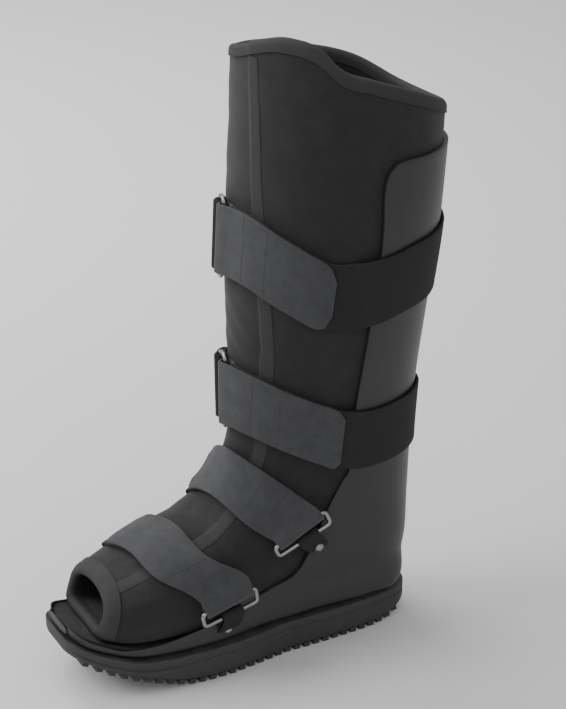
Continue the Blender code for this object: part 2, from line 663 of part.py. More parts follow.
def make_rivet(name, first, second, thickness, parts):
    """Domed rivet head, a turned profile seated between two lines of a strap."""
    lines = np.array([first, second])
    middle = lines[:, BAND_CUTS // 2]
    centre = middle.mean(0)
    out = np.cross(second[-1] - second[0], middle[1] - middle[0])
    out /= np.linalg.norm(out)
    if out.dot(centre - (0.0, centre[1], SOLE_HEIGHT)) < 0:
        out = -out
    share = RIVET_RADIUS / np.linalg.norm(lines[:, -1] - middle, axis=-1).min()
    around = middle[:, None] + (lines - middle[:, None]) * share
    centre = centre + out * (max(float(((around - centre) @ out).max()), 0.0) + thickness / 2 + GAP)
    profile = [(0.0, 1.0), (0.5, 0.88), (0.85, 0.55), (1.0, 0.2), (1.0, 0.0), (0.0, 0.0)]
    mesh = bpy.data.meshes.new(name)
    points = [(x * RIVET_RADIUS, 0.0, z * RIVET_HEIGHT) for x, z in profile]
    mesh.from_pydata(points, [(i, i + 1) for i in range(len(profile) - 1)], [])
    mesh.materials.append(material(name, STEEL))
    made = bpy.data.objects.new(name, mesh)
    parts.objects.link(made)
    screw = made.modifiers.new("turned", "SCREW")
    screw.axis = "Z"
    screw.steps = 12
    screw.render_steps = 12
    screw.use_merge_vertices = True
    screw.merge_threshold = 0.00001
    made.rotation_mode = "QUATERNION"
    made.rotation_quaternion = Vector((0, 0, 1)).rotation_difference(Vector(out))
    made.location = centre
    return made


def fold_sizes(seat, thickness):
    """Lifts of a strap's two layers, the lift of its ring's bar and the fold's radius."""
    low = seat + thickness / 2
    bar = seat + thickness + BAR_ROOM + RING_WIRE / 2
    return low, low + thickness + SEAT, bar, bar - low


def loop_strap(name, ring_name, route, width, tab_end, bar_degrees, parts):
    """Strap that goes right round the leg, through its ring at the front and back on itself."""
    low, high, bar_lift, radius = fold_sizes(SEAT, STRAP_THICKNESS)
    rear_degrees = turned(route, bar_degrees, RING_SPAN) - 360.0
    front = bar_on(route, bar_degrees, bar_lift, width)
    rear = bar_on(route, rear_degrees, bar_lift, width)
    start = turned(route, rear_degrees, FOLD_RUN)
    sewn = stations(route, start, turned(route, start, SEWN_END))
    rest = stations(route, sewn[-1], turned(route, bar_degrees, -FOLD_RUN), tab_end)
    under = np.append(sewn[:-1], rest)
    lower, normals = laid(route, under, low, width, width)
    upper = lower + normals * (high - low)
    lines = [*upper[1:len(sewn)][::-1], *round_bar(rear, radius, -1.0, width)[::-1], *lower]
    upper[-1] += normals[-1] * BAR_ROOM
    lines += [*round_bar(front, radius, 1.0, width), *upper[under >= tab_end][::-1]]
    band(name, lines, STRAP_THICKNESS, WEBBING, parts)
    make_ring(ring_name, front, rear, width, parts)


def side_strap(name, route, width, anchor, bar_degrees, tab_end, parts):
    """Strap from the far side over the foot to a ring on the near side, and back on itself."""
    low, high, bar_lift, radius = fold_sizes(SEAT, STRAP_THICKNESS)
    front = bar_on(route, bar_degrees, bar_lift, width)
    after_rivet = turned(route, anchor, -2 * RIVET_INSET)
    rest = stations(route, after_rivet, turned(route, bar_degrees, FOLD_RUN), tab_end)
    under = np.append(anchor, rest)
    lower, normals = laid(route, under, low, width, width)
    upper = lower + normals * (high - low)
    upper[-1] += normals[-1] * BAR_ROOM
    lines = [*lower, *round_bar(front, radius, -1.0, width), *upper[under <= tab_end][::-1]]
    band(name + "_strap", lines, STRAP_THICKNESS, WEBBING, parts)
    make_rivet(name + "_far_rivet", lower[0], lower[1], STRAP_THICKNESS, parts)

    low, high, bar_lift, radius = fold_sizes(KEEPER_SEAT, KEEPER_THICKNESS)
    rear_degrees = turned(route, bar_degrees, -RING_SPAN)
    rear = bar_on(route, rear_degrees, bar_lift, width)
    near = turned(route, rear_degrees, -0.4 * FOLD_RUN)
    end = turned(route, rear_degrees, -KEEPER_LENGTH)
    under = np.array([end, turned(route, end, 2 * RIVET_INSET), near])
    lower, normals = laid(route, under, low, KEEPER_WIDTH, width)
    upper = lower + normals * (high - low)
    lines = [*lower, *round_bar(rear, radius, 1.0, KEEPER_WIDTH), *upper[:2][::-1]]
    band(name + "_keeper", lines, KEEPER_THICKNESS, WEBBING, parts)
    make_rivet(name + "_rivet", upper[0], upper[1], KEEPER_THICKNESS, parts)
    make_ring(name + "_ring", front, rear, width, parts)


def centre_on_box(parts):
    """Carry every piece on one empty, moved so that the whole model's box stands over the origin."""
    bpy.context.view_layer.update()
    graph = bpy.context.evaluated_depsgraph_get()
    corners = []
    for thing in parts.objects:
        shape = thing.evaluated_get(graph)
        mesh = shape.to_mesh()
        corners += [shape.matrix_world @ v.co for v in mesh.vertices]
        shape.to_mesh_clear()
    points = np.array(corners)
    low, high = points.min(0), points.max(0)
    carrier = bpy.data.objects.new("carrier", None)
    parts.objects.link(carrier)
    for thing in list(parts.objects):
        if thing is not carrier:
            thing.parent = carrier
    carrier.location = (-(low[0] + high[0]) / 2, -(low[1] + high[1]) / 2, -low[2])
    return carrier


def build():
    clear_scene()
    parts = new_collection(OBJECT_NAME)
    cutters = new_collection("cutters")
    make_outsole(parts)
    make_shell(parts, cutters)
    make_footbed(parts)
    make_liner(parts)
    loop_strap("calf_strap", "calf_ring", CALF_ROUTE, CALF_STRAP_WIDTH, 107.0, 184.0, parts)
    loop_strap("shin_strap", "shin_ring", SHIN_ROUTE, SHIN_STRAP_WIDTH, 94.0, 182.0, parts)
    side_strap("instep", INSTEP_ROUTE, INSTEP_STRAP_WIDTH, 285.0, 97.0, 215.0, parts)
    side_strap("forefoot", FOREFOOT_ROUTE, FOREFOOT_STRAP_WIDTH, 300.0, 88.0, 215.0, parts)
    centre_on_box(parts)


build()
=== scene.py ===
import math

import bmesh
import bpy
import numpy as np
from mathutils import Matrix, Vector


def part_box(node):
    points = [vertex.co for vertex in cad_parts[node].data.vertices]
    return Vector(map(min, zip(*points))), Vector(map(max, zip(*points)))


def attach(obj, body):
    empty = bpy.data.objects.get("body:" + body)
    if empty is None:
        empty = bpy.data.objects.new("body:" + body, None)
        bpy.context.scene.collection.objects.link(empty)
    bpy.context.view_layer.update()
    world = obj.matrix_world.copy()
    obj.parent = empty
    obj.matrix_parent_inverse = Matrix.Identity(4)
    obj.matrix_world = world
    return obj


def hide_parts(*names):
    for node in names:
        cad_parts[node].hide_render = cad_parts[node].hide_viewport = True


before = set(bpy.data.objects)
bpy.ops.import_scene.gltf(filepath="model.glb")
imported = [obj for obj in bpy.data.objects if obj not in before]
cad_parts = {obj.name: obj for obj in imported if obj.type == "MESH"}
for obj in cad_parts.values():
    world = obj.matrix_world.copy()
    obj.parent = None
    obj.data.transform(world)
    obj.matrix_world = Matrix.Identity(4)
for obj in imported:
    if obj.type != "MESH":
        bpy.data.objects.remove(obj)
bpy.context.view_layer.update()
print("frame loaded")

# sizes of the boot's form in metres, as the solids have them
boot = {
    "soleLength": 0.290, "soleWidth": 0.114, "soleHeight": 0.0265, "toeRise": 0.031, "toeEdge": 0.0135,
    "heelRise": 0.008, "toeShare": 0.507, "linerHeight": 0.436, "legWidth": 0.150, "legDepth": 0.151,
    "ballWidth": 0.102, "instepHeight": 0.134, "linerWall": 0.008, "flapStep": 0.002, "shellWall": 0.0035,
    "shellHeight": 0.3655, "toeRim": 0.004, "footbed": 0.003, "gap": 0.0004, "seat": 0.0006,
}
heelShare = 1 - boot["toeShare"]
floorStack = boot["shellWall"] + boot["footbed"] + 3 * boot["gap"]

# half of the sole's outline: share along the sole, share of its half width
soleSides = [
    (-0.50, 0.95), (-0.38, 0.98), (-0.23, 1.00), (-0.08, 0.95), (0.10, 0.79), (0.30, 0.80), (0.50, 0.84),
]

# slices of the leg and foot, toe to top: back point along and up, front point's run in foot and leg,
# front point's height in foot and leg, half width in foot and leg, squareness of the lower half
sections = [
    (-0.488, 0.000, 0.017, 0.000, 0.21, 0.000, 0.221, 0.000, 5.0),
    (-0.462, 0.000, 0.034, 0.000, 0.27, 0.000, 0.304, 0.000, 5.0),
    (-0.421, 0.000, 0.041, 0.000, 0.31, 0.000, 0.368, 0.000, 5.0),
    (-0.345, 0.000, 0.034, 0.000, 0.42, 0.000, 0.441, 0.000, 5.0),
    (-0.241, 0.000, 0.028, 0.000, 0.51, 0.000, 0.490, 0.000, 4.5),
    (-0.117, 0.000, 0.007, 0.000, 0.60, 0.000, 0.500, 0.000, 4.0),
    (0.021, 0.000, -0.062, 0.000, 0.745, 0.000, 0.451, 0.000, 3.6),
    (0.186, 0.000, -0.190, 0.000, 0.91, 0.000, 0.426, 0.000, 3.4),
    (0.345, 0.000, -0.221, -0.225, 1.045, 0.000, 0.422, 0.000, 3.2),
    (0.441, 0.009, -0.170, -0.500, 1.149, 0.000, 0.426, 0.000, 3.0),
    (0.479, 0.064, -0.100, -0.708, 0.60, 0.201, 0.300, 0.096, 2.8),
    (0.486, 0.161, 0.000, -0.914, 0.40, 0.304, 0.200, 0.191, 2.5),
    (0.490, 0.275, 0.000, -0.921, 0.20, 0.421, 0.100, 0.295, 2.3),
    (0.497, 0.390, 0.000, -0.934, 0.00, 0.546, 0.000, 0.407, 2.2),
    (0.517, 0.523, 0.000, -0.967, 0.00, 0.633, 0.000, 0.447, 2.2),
    (0.541, 0.661, 0.000, -0.993, 0.00, 0.748, 0.000, 0.480, 2.2),
    (0.555, 0.794, 0.000, -1.000, 0.00, 0.874, 0.000, 0.493, 2.2),
    (0.562, 0.890, 0.000, -1.000, 0.00, 1.000, 0.000, 0.500, 2.2),
    (0.569, 0.984, 0.000, -1.000, 0.00, 1.096, 0.000, 0.502, 2.2),
]
mouthRow = 1.75
frontSquare = 2.2

# free edge of the shell in the side view: share along the sole, share of the shell's height
shellEdge = [
    (-0.372, 0.022), (-0.279, 0.0356), (-0.169, 0.054), (-0.124, 0.062), (-0.100, 0.095), (-0.072, 0.115),
    (-0.034, 0.113), (-0.012, 0.088), (0.041, 0.097), (0.117, 0.122), (0.186, 0.223), (0.241, 0.310),
    (0.255, 0.343), (0.255, 0.500), (0.272, 0.677), (0.288, 0.844), (0.287, 0.930), (0.296, 0.975),
    (0.325, 0.997), (0.400, 1.000), (0.600, 1.000),
]

# angle in degrees from the back line, positive on the ring side, and row
linerRim = [
    (-180, 16.88), (-140, 16.80), (-100, 16.92), (-50, 17.00), (-25, 16.85), (30, 16.85), (75, 16.97),
    (100, 17.00), (114, 17.02), (124, 17.22), (138, 17.24), (156, 17.10), (172, 16.95), (180, 16.88),
]
flapEdge = [(150, 2.0), (150, 12.4), (155, 13.6), (167, 15.3), (174, 17.0)]


def smooth(x):
    x = np.clip(x, 0.0, 1.0)
    return x * x * (3.0 - 2.0 * x)


def catmull(table, where):
    last = len(table) - 1
    x = np.clip(np.asarray(where, float), 0.0, last - 1e-9)
    i = x.astype(int)
    t = (x - i)[..., None]
    p0, p1, p2, p3 = (table[np.clip(i + k, 0, last)] for k in (-1, 0, 1, 2))
    return 0.5 * (2 * p1 + (p2 - p0) * t + (2 * p0 - 5 * p1 + 4 * p2 - p3) * t * t
                  + (3 * p1 - p0 - 3 * p2 + p3) * t ** 3)


def rowAt(points, angle):
    angles, rows = (np.array(column, float) for column in zip(*points))
    slopes = np.gradient(rows, angles)
    x = np.clip(np.asarray(angle, float), angles[0], angles[-1])
    i = np.clip(np.searchsorted(angles, x, side="right") - 1, 0, len(angles) - 2)
    span = angles[i + 1] - angles[i]
    t = (x - angles[i]) / span
    bend = t * (1.0 - t) * ((1.0 - t) * slopes[i] - t * slopes[i + 1]) * span
    return rows[i] + t * t * (3.0 - 2.0 * t) * (rows[i + 1] - rows[i]) + bend


def grown(y, start, stop, power):
    return np.clip((y - start) / (stop - start), 0.0, None) ** power


def treadZ(y):
    share = np.asarray(y) / boot["soleLength"]
    toe = boot["toeRise"] * grown(-share, 0.138, 0.507, 1.7)
    return toe + boot["heelRise"] * grown(share, 0.35, 0.493, 2.0)


def soleZ(y):
    share = np.asarray(y) / boot["soleLength"]
    lift = boot["toeRise"] + boot["toeEdge"] - boot["soleHeight"]
    return boot["soleHeight"] + lift * grown(-share, 0.310, 0.507, 1.5)


def soleHalf(y):
    share = np.clip(np.asarray(y) / boot["soleLength"], -boot["toeShare"], heelShare)
    side = np.interp(share, *zip(*soleSides))
    reach = np.abs(share - (heelShare - boot["toeShare"]) / 2) * 2
    return boot["soleWidth"] / 2 * side * np.clip(1 - reach ** 2.5, 0.0, None) ** 0.25


def formTable():
    rows = []
    for backAlong, backUp, footRun, legRun, instepUp, legUp, ballHalf, legHalf, square in sections:
        backY = backAlong * boot["soleLength"]
        floor = float(soleZ(backY)) + floorStack
        frontY = backY + footRun * boot["soleLength"] + legRun * boot["legDepth"]
        frontZ = floor + instepUp * boot["instepHeight"] + legUp * boot["linerHeight"]
        half = ballHalf * boot["ballWidth"] + legHalf * boot["legWidth"]
        rows.append([backY, floor + backUp * boot["linerHeight"], frontY, frontZ, half, square])
    return np.array(rows)


form = formTable()


def formPoint(row, angle, inset=0.0):
    row, angle = np.broadcast_arrays(np.asarray(row, float), np.asarray(angle, float))
    s = catmull(form, row)
    back, front, half, square = s[..., 0:2], s[..., 2:4], s[..., 4] - inset, s[..., 5]
    run = front - back
    depth = np.linalg.norm(run, axis=-1)
    run = run / depth[..., None]
    c, n = np.cos(angle), np.sin(angle)
    power = np.where(c > 0, 2 / square, 2 / frontSquare)
    x = half * np.sign(n) * np.abs(n) ** power
    along = depth / 2 - (depth / 2 - inset) * np.sign(c) * np.abs(c) ** power
    return np.stack([x, back[..., 0] + run[..., 0] * along, back[..., 1] + run[..., 1] * along], -1)


def unit(v):
    return v / np.linalg.norm(v, axis=-1, keepdims=True)


def formNormal(row, angle):
    step = 0.02
    last = len(sections) - 1
    up = formPoint(np.minimum(row + step, last), angle) - formPoint(np.maximum(row - step, 0), angle)
    return unit(np.cross(up, formPoint(row, angle + step) - formPoint(row, angle - step)))


def skin(row, angle, offset):
    row, angle, offset = np.broadcast_arrays(
        np.asarray(row, float), np.asarray(angle, float), np.asarray(offset, float))
    return formPoint(row, angle) + formNormal(row, angle) * offset[..., None]


def edgeOutline():
    rimZ = boot["shellWall"] + boot["toeRim"] + boot["gap"]
    length = boot["soleLength"]
    toe = [(-0.60 * length, float(soleZ(-boot["toeShare"] * length)) + rimZ)]
    toe += [(s * length, float(soleZ(s * length)) + rimZ) for s in (-boot["toeShare"], -0.46, -0.42)]
    knots = [(a * length, float(soleZ(a * length)) + up * boot["shellHeight"]) for a, up in shellEdge]
    table = np.array(toe + knots + [(0.9 * length, knots[-1][1])])
    return catmull(table, np.linspace(0, len(table) - 1, 4 * (len(table) - 1) + 1))


edge = edgeOutline()
high = 2 * boot["linerHeight"]
edgeRegion = np.vstack([edge, [[edge[-1, 0], high], [edge[0, 0], high]]])


def shellDepth(y, z):  # distance to the shell's free edge, positive on the shell
    y, z = np.asarray(y, float), np.asarray(z, float)
    a, span = edge[:-1], edge[1:] - edge[:-1]
    offY, offZ = y[..., None] - a[:, 0], z[..., None] - a[:, 1]
    share = np.clip((offY * span[:, 0] + offZ * span[:, 1]) / (span ** 2).sum(1), 0, 1)
    away = np.hypot(offY - share * span[:, 0], offZ - share * span[:, 1])
    crossings = np.zeros(y.shape, int)
    for p, q in zip(edgeRegion, np.roll(edgeRegion, -1, axis=0)):
        rise = q[1] - p[1] if q[1] != p[1] else 1.0
        crossings += ((p[1] > z) != (q[1] > z)) & (y < p[0] + (z - p[1]) / rise * (q[0] - p[0]))
    return np.where(crossings % 2 == 1, -1.0, 1.0) * away.min(-1)


def flapAngle(row):
    angles, rows = zip(*flapEdge)
    return np.interp(row, rows, angles)


def flapHeight(row, degrees, past, fade):
    turned = np.mod(np.asarray(degrees, float) + 120.0, 360.0) - 120.0
    rising = smooth((turned - 95.0) / 40.0)
    falling = 1.0 - smooth((turned - flapAngle(row) - past) / fade)
    return boot["flapStep"] * rising * falling * smooth((np.asarray(row, float) - 2.5) / 2.0)


def cover(row, angle):
    p = formPoint(row, angle)
    behind = smooth((shellDepth(p[..., 1], p[..., 2]) + 0.021) / 0.011)
    shellLift = (boot["gap"] + boot["shellWall"]) * behind
    return np.maximum(shellLift, flapHeight(row, np.degrees(angle), 12.0, 25.0))


def rowPace(row, angle):
    step = 0.05
    return np.linalg.norm(formPoint(row + step, angle) - formPoint(row - step, angle), axis=-1) / (2 * step)


# the form's own frame stands on the sole's middle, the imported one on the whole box's
soleLow, soleHigh = (np.array(corner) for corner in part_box("outsole"))
shift = (soleLow + soleHigh) / 2
shift[1] -= (heelShare - boot["toeShare"]) / 2 * boot["soleLength"]
shift[2] = soleLow[2]


def meshObject(name, verts, faces, material, uv=None, sharp=45.0):
    mesh = bpy.data.meshes.new(name)
    mesh.from_pydata([tuple(float(v) for v in p) for p in np.reshape(verts, (-1, 3)) + shift], [], faces)
    if uv is not None:
        layer = mesh.uv_layers.new(name="UVMap")
        index = np.empty(len(mesh.loops), np.int32)
        mesh.loops.foreach_get("vertex_index", index)
        layer.data.foreach_set("uv", np.reshape(uv, (-1, 2))[index].astype(np.float32).ravel())
    work = bmesh.new()
    work.from_mesh(mesh)
    bmesh.ops.recalc_face_normals(work, faces=work.faces)
    work.to_mesh(mesh)
    work.free()
    mesh.materials.append(material)
    mesh.shade_smooth()
    mesh.set_sharp_from_angle(angle=math.radians(sharp))
    made = bpy.data.objects.new(name, mesh)
    bpy.context.scene.collection.objects.link(made)
    return made


def gridFaces(rows, columns, wrapRows=False, wrapColumns=True):
    r, c = np.meshgrid(np.arange(rows if wrapRows else rows - 1),
                       np.arange(columns if wrapColumns else columns - 1), indexing="ij")
    s, d = (r + 1) % rows, (c + 1) % columns
    quads = np.stack([r * columns + c, r * columns + d, s * columns + d, s * columns + c], -1)
    return quads.reshape(-1, 4).tolist()


def stripFaces(rows, ring):
    caps = [list(reversed(range(ring))), list(range((rows - 1) * ring, rows * ring))]
    return gridFaces(rows, ring) + caps


def bake(made):
    graph = bpy.context.evaluated_depsgraph_get()
    mesh = bpy.data.meshes.new_from_object(made.evaluated_get(graph))
    made.modifiers.clear()
    made.data = mesh
    return made


def place(made, slot, *nodes):
    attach(made, "root")
    if nodes:
        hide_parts(*nodes)
    return made


def node(tree, kind, inputs=None, **settings):
    made = tree.nodes.new(kind)
    for key, value in settings.items():
        setattr(made, key, value)
    for key, value in (inputs or {}).items():
        if isinstance(value, bpy.types.NodeSocket):
            tree.links.new(value, made.inputs[key])
        else:
            made.inputs[key].default_value = value
    return made


def math2(tree, operation, first, second):
    return node(tree, "ShaderNodeMath", {0: first, 1: second}, operation=operation).outputs[0]


def shaderGroup(name, inputs, outputs):
    tree = bpy.data.node_groups.new(name, "ShaderNodeTree")
    for label, kind, value in inputs:
        socket = tree.interface.new_socket(name=label, in_out="INPUT", socket_type=kind)
        if value is not None:
            socket.default_value = value
    for label in outputs:
        tree.interface.new_socket(name=label, in_out="OUTPUT", socket_type="NodeSocketFloat")
    return tree, node(tree, "NodeGroupInput").outputs, node(tree, "NodeGroupOutput").inputs


def noise(tree, where, scale, detail=3.0, roughness=0.55):
    made = node(tree, "ShaderNodeTexNoise", {"Scale": scale, "Detail": detail, "Roughness": roughness})
    tree.links.new(where, made.inputs["Vector"])
    return made.outputs["Fac"]


def remap(tree, value, low, high, newLow=0.0, newHigh=1.0):
    made = node(tree, "ShaderNodeMapRange", {"Value": value, "From Min": low, "From Max": high,
                                             "To Min": newLow, "To Max": newHigh})
    return made.outputs["Result"]


def pileGroup():  # brushed loop cloth: short fuzz over soft mottling
    tree, given, out = shaderGroup("brushedPile", [
        ("Place", "NodeSocketVector", None), ("Fuzz Scale", "NodeSocketFloat", 1500.0),
        ("Mottle Scale", "NodeSocketFloat", 70.0)], ["Shade", "Height"])
    fuzz = noise(tree, given["Place"], given["Fuzz Scale"], 4.0, 0.7)
    mottle = noise(tree, given["Place"], given["Mottle Scale"], 3.0, 0.6)
    fine, broad = remap(tree, fuzz, 0.3, 0.7, 0.78, 1.22), remap(tree, mottle, 0.3, 0.7, 0.86, 1.14)
    shade = math2(tree, "MULTIPLY", fine, broad)
    tree.links.new(shade, out["Shade"])
    tree.links.new(math2(tree, "ADD", fuzz, math2(tree, "MULTIPLY", mottle, 0.6)), out["Height"])
    return tree


def weaveGroup():  # narrow woven band: ribs along it, crossed by picks, on a UV map in metres
    tree, given, out = shaderGroup("wovenBand", [
        ("Place", "NodeSocketVector", None), ("Rib Pitch", "NodeSocketFloat", 0.0012),
        ("Pick Pitch", "NodeSocketFloat", 0.0009)], ["Shade", "Height"])
    parts = node(tree, "ShaderNodeSeparateXYZ", {"Vector": given["Place"]}).outputs
    turn = 2 * math.pi
    along = math2(tree, "MULTIPLY", math2(tree, "DIVIDE", parts["X"], given["Pick Pitch"]), turn)
    rib = math2(tree, "MULTIPLY", math2(tree, "DIVIDE", parts["Y"], given["Rib Pitch"]), turn)
    sineRib = node(tree, "ShaderNodeMath", {0: rib}, operation="SINE").outputs[0]
    stagger = math2(tree, "ADD", along, math2(tree, "MULTIPLY", sineRib, 1.3))
    sinePick = node(tree, "ShaderNodeMath", {0: stagger}, operation="SINE").outputs[0]
    height = math2(tree, "ADD", math2(tree, "MULTIPLY", sineRib, 0.6), math2(tree, "MULTIPLY", sinePick, 0.4))
    tree.links.new(remap(tree, height, -1.0, 1.0, 0.75, 1.2), out["Shade"])
    tree.links.new(height, out["Height"])
    return tree


def grainGroup():  # moulded plastic or rubber: fine pebbling with a few faint flow marks
    tree, given, out = shaderGroup("mouldedGrain", [
        ("Place", "NodeSocketVector", None), ("Grain Scale", "NodeSocketFloat", 900.0),
        ("Flow Scale", "NodeSocketFloat", 14.0)], ["Shade", "Height"])
    inputs = {"Vector": given["Place"], "Scale": given["Grain Scale"]}
    cells = node(tree, "ShaderNodeTexVoronoi", inputs).outputs[0]
    flow = noise(tree, given["Place"], given["Flow Scale"], 3.0, 0.5)
    tree.links.new(remap(tree, flow, 0.3, 0.7, 0.92, 1.08), out["Shade"])
    tree.links.new(cells, out["Height"])
    return tree


def wearGroup():  # pale dust lying on upward faces, and rubbed specks
    tree, given, out = shaderGroup("dustAndRub", [
        ("Place", "NodeSocketVector", None), ("Dust", "NodeSocketFloat", 0.1),
        ("Rub Scale", "NodeSocketFloat", 160.0)], ["Dust", "Rub"])
    normal = node(tree, "ShaderNodeNewGeometry").outputs["Normal"]
    up = node(tree, "ShaderNodeSeparateXYZ", {"Vector": normal})
    lying = remap(tree, up.outputs["Z"], 0.1, 0.95)
    patch = remap(tree, noise(tree, given["Place"], 45.0, 5.0, 0.65), 0.42, 0.68)
    tree.links.new(math2(tree, "MULTIPLY", math2(tree, "MULTIPLY", lying, patch), given["Dust"]), out["Dust"])
    rubbed = noise(tree, given["Place"], given["Rub Scale"], 6.0, 0.7)
    tree.links.new(remap(tree, rubbed, 0.63, 0.75), out["Rub"])
    return tree


pile, weave, grain, wear = pileGroup(), weaveGroup(), grainGroup(), wearGroup()


def finish(name, look):
    made = bpy.data.materials.new(name)
    made.use_nodes = True
    tree = made.node_tree
    tree.nodes.clear()
    coords = node(tree, "ShaderNodeTexCoord").outputs
    spot = coords["UV" if look["surface"] is weave else "Object"]
    surface = node(tree, "ShaderNodeGroup", node_tree=look["surface"])
    tree.links.new(spot, surface.inputs["Place"])
    for label, value in look.get("pattern", {}).items():
        surface.inputs[label].default_value = value
    marks = node(tree, "ShaderNodeGroup", node_tree=wear)
    tree.links.new(coords["Object"], marks.inputs["Place"])
    marks.inputs["Dust"].default_value = look["dust"]
    base = node(tree, "ShaderNodeRGB").outputs[0]
    base.default_value = (*look["colour"], 1.0)
    shade = math2(tree, "MULTIPLY_ADD", surface.outputs["Shade"], look["contrast"])
    shade.node.inputs[2].default_value = 1.0 - look["contrast"]
    tinted = node(tree, "ShaderNodeVectorMath", {0: base}, operation="SCALE")
    tree.links.new(shade, tinted.inputs["Scale"])
    mixed = node(tree, "ShaderNodeMix", {"Factor": marks.outputs["Dust"]}, data_type="RGBA")
    tree.links.new(tinted.outputs[0], mixed.inputs[6])
    mixed.inputs[7].default_value = (0.30, 0.29, 0.28, 1.0)
    rough = math2(tree, "MULTIPLY_ADD", marks.outputs["Rub"], look["rub"])
    rough.node.inputs[2].default_value = look["roughness"]
    bump = node(tree, "ShaderNodeBump", {"Height": surface.outputs["Height"], "Distance": look["depth"],
                                         "Strength": look["strength"]})
    shader = node(tree, "ShaderNodeBsdfPrincipled", {
        "Base Color": mixed.outputs[2], "Roughness": rough, "Normal": bump.outputs[0],
        "Metallic": look.get("metallic", 0.0), "Sheen Weight": look.get("sheen", 0.0),
        "Sheen Roughness": 0.5, "Specular IOR Level": look.get("specular", 0.5)})
    output = node(tree, "ShaderNodeOutputMaterial")
    tree.links.new(shader.outputs[0], output.inputs["Surface"])
    return made


looks = {
    "liner": {
        "surface": pile, "colour": (0.0225, 0.0225, 0.0240), "roughness": 0.92, "rub": 0.05, "contrast": 0.9,
        "dust": 0.05, "depth": 0.00025, "strength": 0.45, "sheen": 0.12, "specular": 0.25},
    "binding": {
        "surface": weave, "colour": (0.034, 0.034, 0.036), "roughness": 0.8, "rub": 0.05, "contrast": 0.7,
        "dust": 0.04, "depth": 0.00015, "strength": 0.6, "specular": 0.35},
    "base": {
        "surface": weave, "colour": (0.0195, 0.0195, 0.0205), "roughness": 0.85, "rub": 0.05, "contrast": 0.8,
        "dust": 0.05, "depth": 0.0002, "strength": 0.6, "specular": 0.3},
    "tab": {
        "surface": pile, "colour": (0.054, 0.055, 0.059), "roughness": 0.93, "rub": 0.04, "contrast": 0.9,
        "dust": 0.04, "depth": 0.00025, "strength": 0.5, "sheen": 0.15, "specular": 0.25,
        "pattern": {"Fuzz Scale": 1700.0, "Mottle Scale": 110.0}},
    "shell": {
        "surface": grain, "colour": (0.020, 0.020, 0.021), "roughness": 0.46, "rub": 0.12, "contrast": 1.0,
        "dust": 0.10, "depth": 0.00008, "strength": 0.25},
    "rubber": {
        "surface": grain, "colour": (0.031, 0.031, 0.032), "roughness": 0.68, "rub": 0.10, "contrast": 1.0,
        "dust": 0.14, "depth": 0.0001, "strength": 0.3, "pattern": {"Grain Scale": 700.0}},
    "footbed": {
        "surface": pile, "colour": (0.034, 0.034, 0.035), "roughness": 0.9, "rub": 0.05, "contrast": 0.9,
        "dust": 0.05, "depth": 0.0002, "strength": 0.4, "specular": 0.3},
    "thread": {
        "surface": pile, "colour": (0.048, 0.048, 0.051), "roughness": 0.7, "rub": 0.05, "contrast": 0.6,
        "dust": 0.02, "depth": 0.0001, "strength": 0.3, "pattern": {"Fuzz Scale": 5000.0}},
    "steel": {
        "surface": grain, "colour": (0.32, 0.32, 0.33), "roughness": 0.34, "rub": 0.25, "contrast": 0.6,
        "dust": 0.03, "depth": 0.00003, "strength": 0.15, "metallic": 1.0,
        "pattern": {"Grain Scale": 2400.0, "Flow Scale": 90.0}},
}
finishes = {name: finish(name + "_finish", look) for name, look in looks.items()}
print("materials ready")


def nodeTree(name, inputs):
    tree = bpy.data.node_groups.new(name, "GeometryNodeTree")
    tree.interface.new_socket(name="Geometry", in_out="INPUT", socket_type="NodeSocketGeometry")
    for label, kind, value in inputs:
        socket = tree.interface.new_socket(name=label, in_out="INPUT", socket_type=kind)
        if value is not None:
            socket.default_value = value
    tree.interface.new_socket(name="Geometry", in_out="OUTPUT", socket_type="NodeSocketGeometry")
    return tree, node(tree, "NodeGroupInput").outputs


def closeTree(tree, given, geometry, rounded=True):
    if rounded:
        geometry = node(tree, "GeometryNodeSetShadeSmooth", {"Geometry": geometry}).outputs[0]
    real = node(tree, "GeometryNodeRealizeInstances", {"Geometry": geometry}).outputs[0]
    inputs = {"Geometry": real, "Material": given["Material"]}
    painted = node(tree, "GeometryNodeSetMaterial", inputs).outputs[0]
    tree.links.new(painted, node(tree, "NodeGroupOutput").inputs[0])
    return tree


def stitchTree():  # short threads, one for each stitch along every line given
    tree, given = nodeTree("stitchRun", [
        ("Pitch", "NodeSocketFloat", 0.003), ("Thread Radius", "NodeSocketFloat", 0.00035),
        ("Stitch Share", "NodeSocketFloat", 0.72), ("Material", "NodeSocketMaterial", None)])
    line = node(tree, "GeometryNodeMeshToCurve", {"Mesh": given["Geometry"]}).outputs[0]
    points = node(tree, "GeometryNodeCurveToPoints", {"Curve": line, "Length": given["Pitch"]}, mode="LENGTH")
    thread = node(tree, "GeometryNodeMeshUVSphere", {
        "Segments": 6, "Rings": 4, "Radius": given["Thread Radius"]})
    run = math2(tree, "MULTIPLY", given["Pitch"], given["Stitch Share"])
    width = math2(tree, "MULTIPLY", given["Thread Radius"], 2.0)
    stretch = math2(tree, "DIVIDE", run, width)
    size = node(tree, "ShaderNodeCombineXYZ", {"X": 1.0, "Y": 1.0, "Z": stretch})
    sewn = node(tree, "GeometryNodeInstanceOnPoints", {
        "Points": points.outputs["Points"], "Instance": thread.outputs["Mesh"],
        "Rotation": points.outputs["Rotation"], "Scale": size.outputs[0]})
    return closeTree(tree, given, sewn.outputs[0])


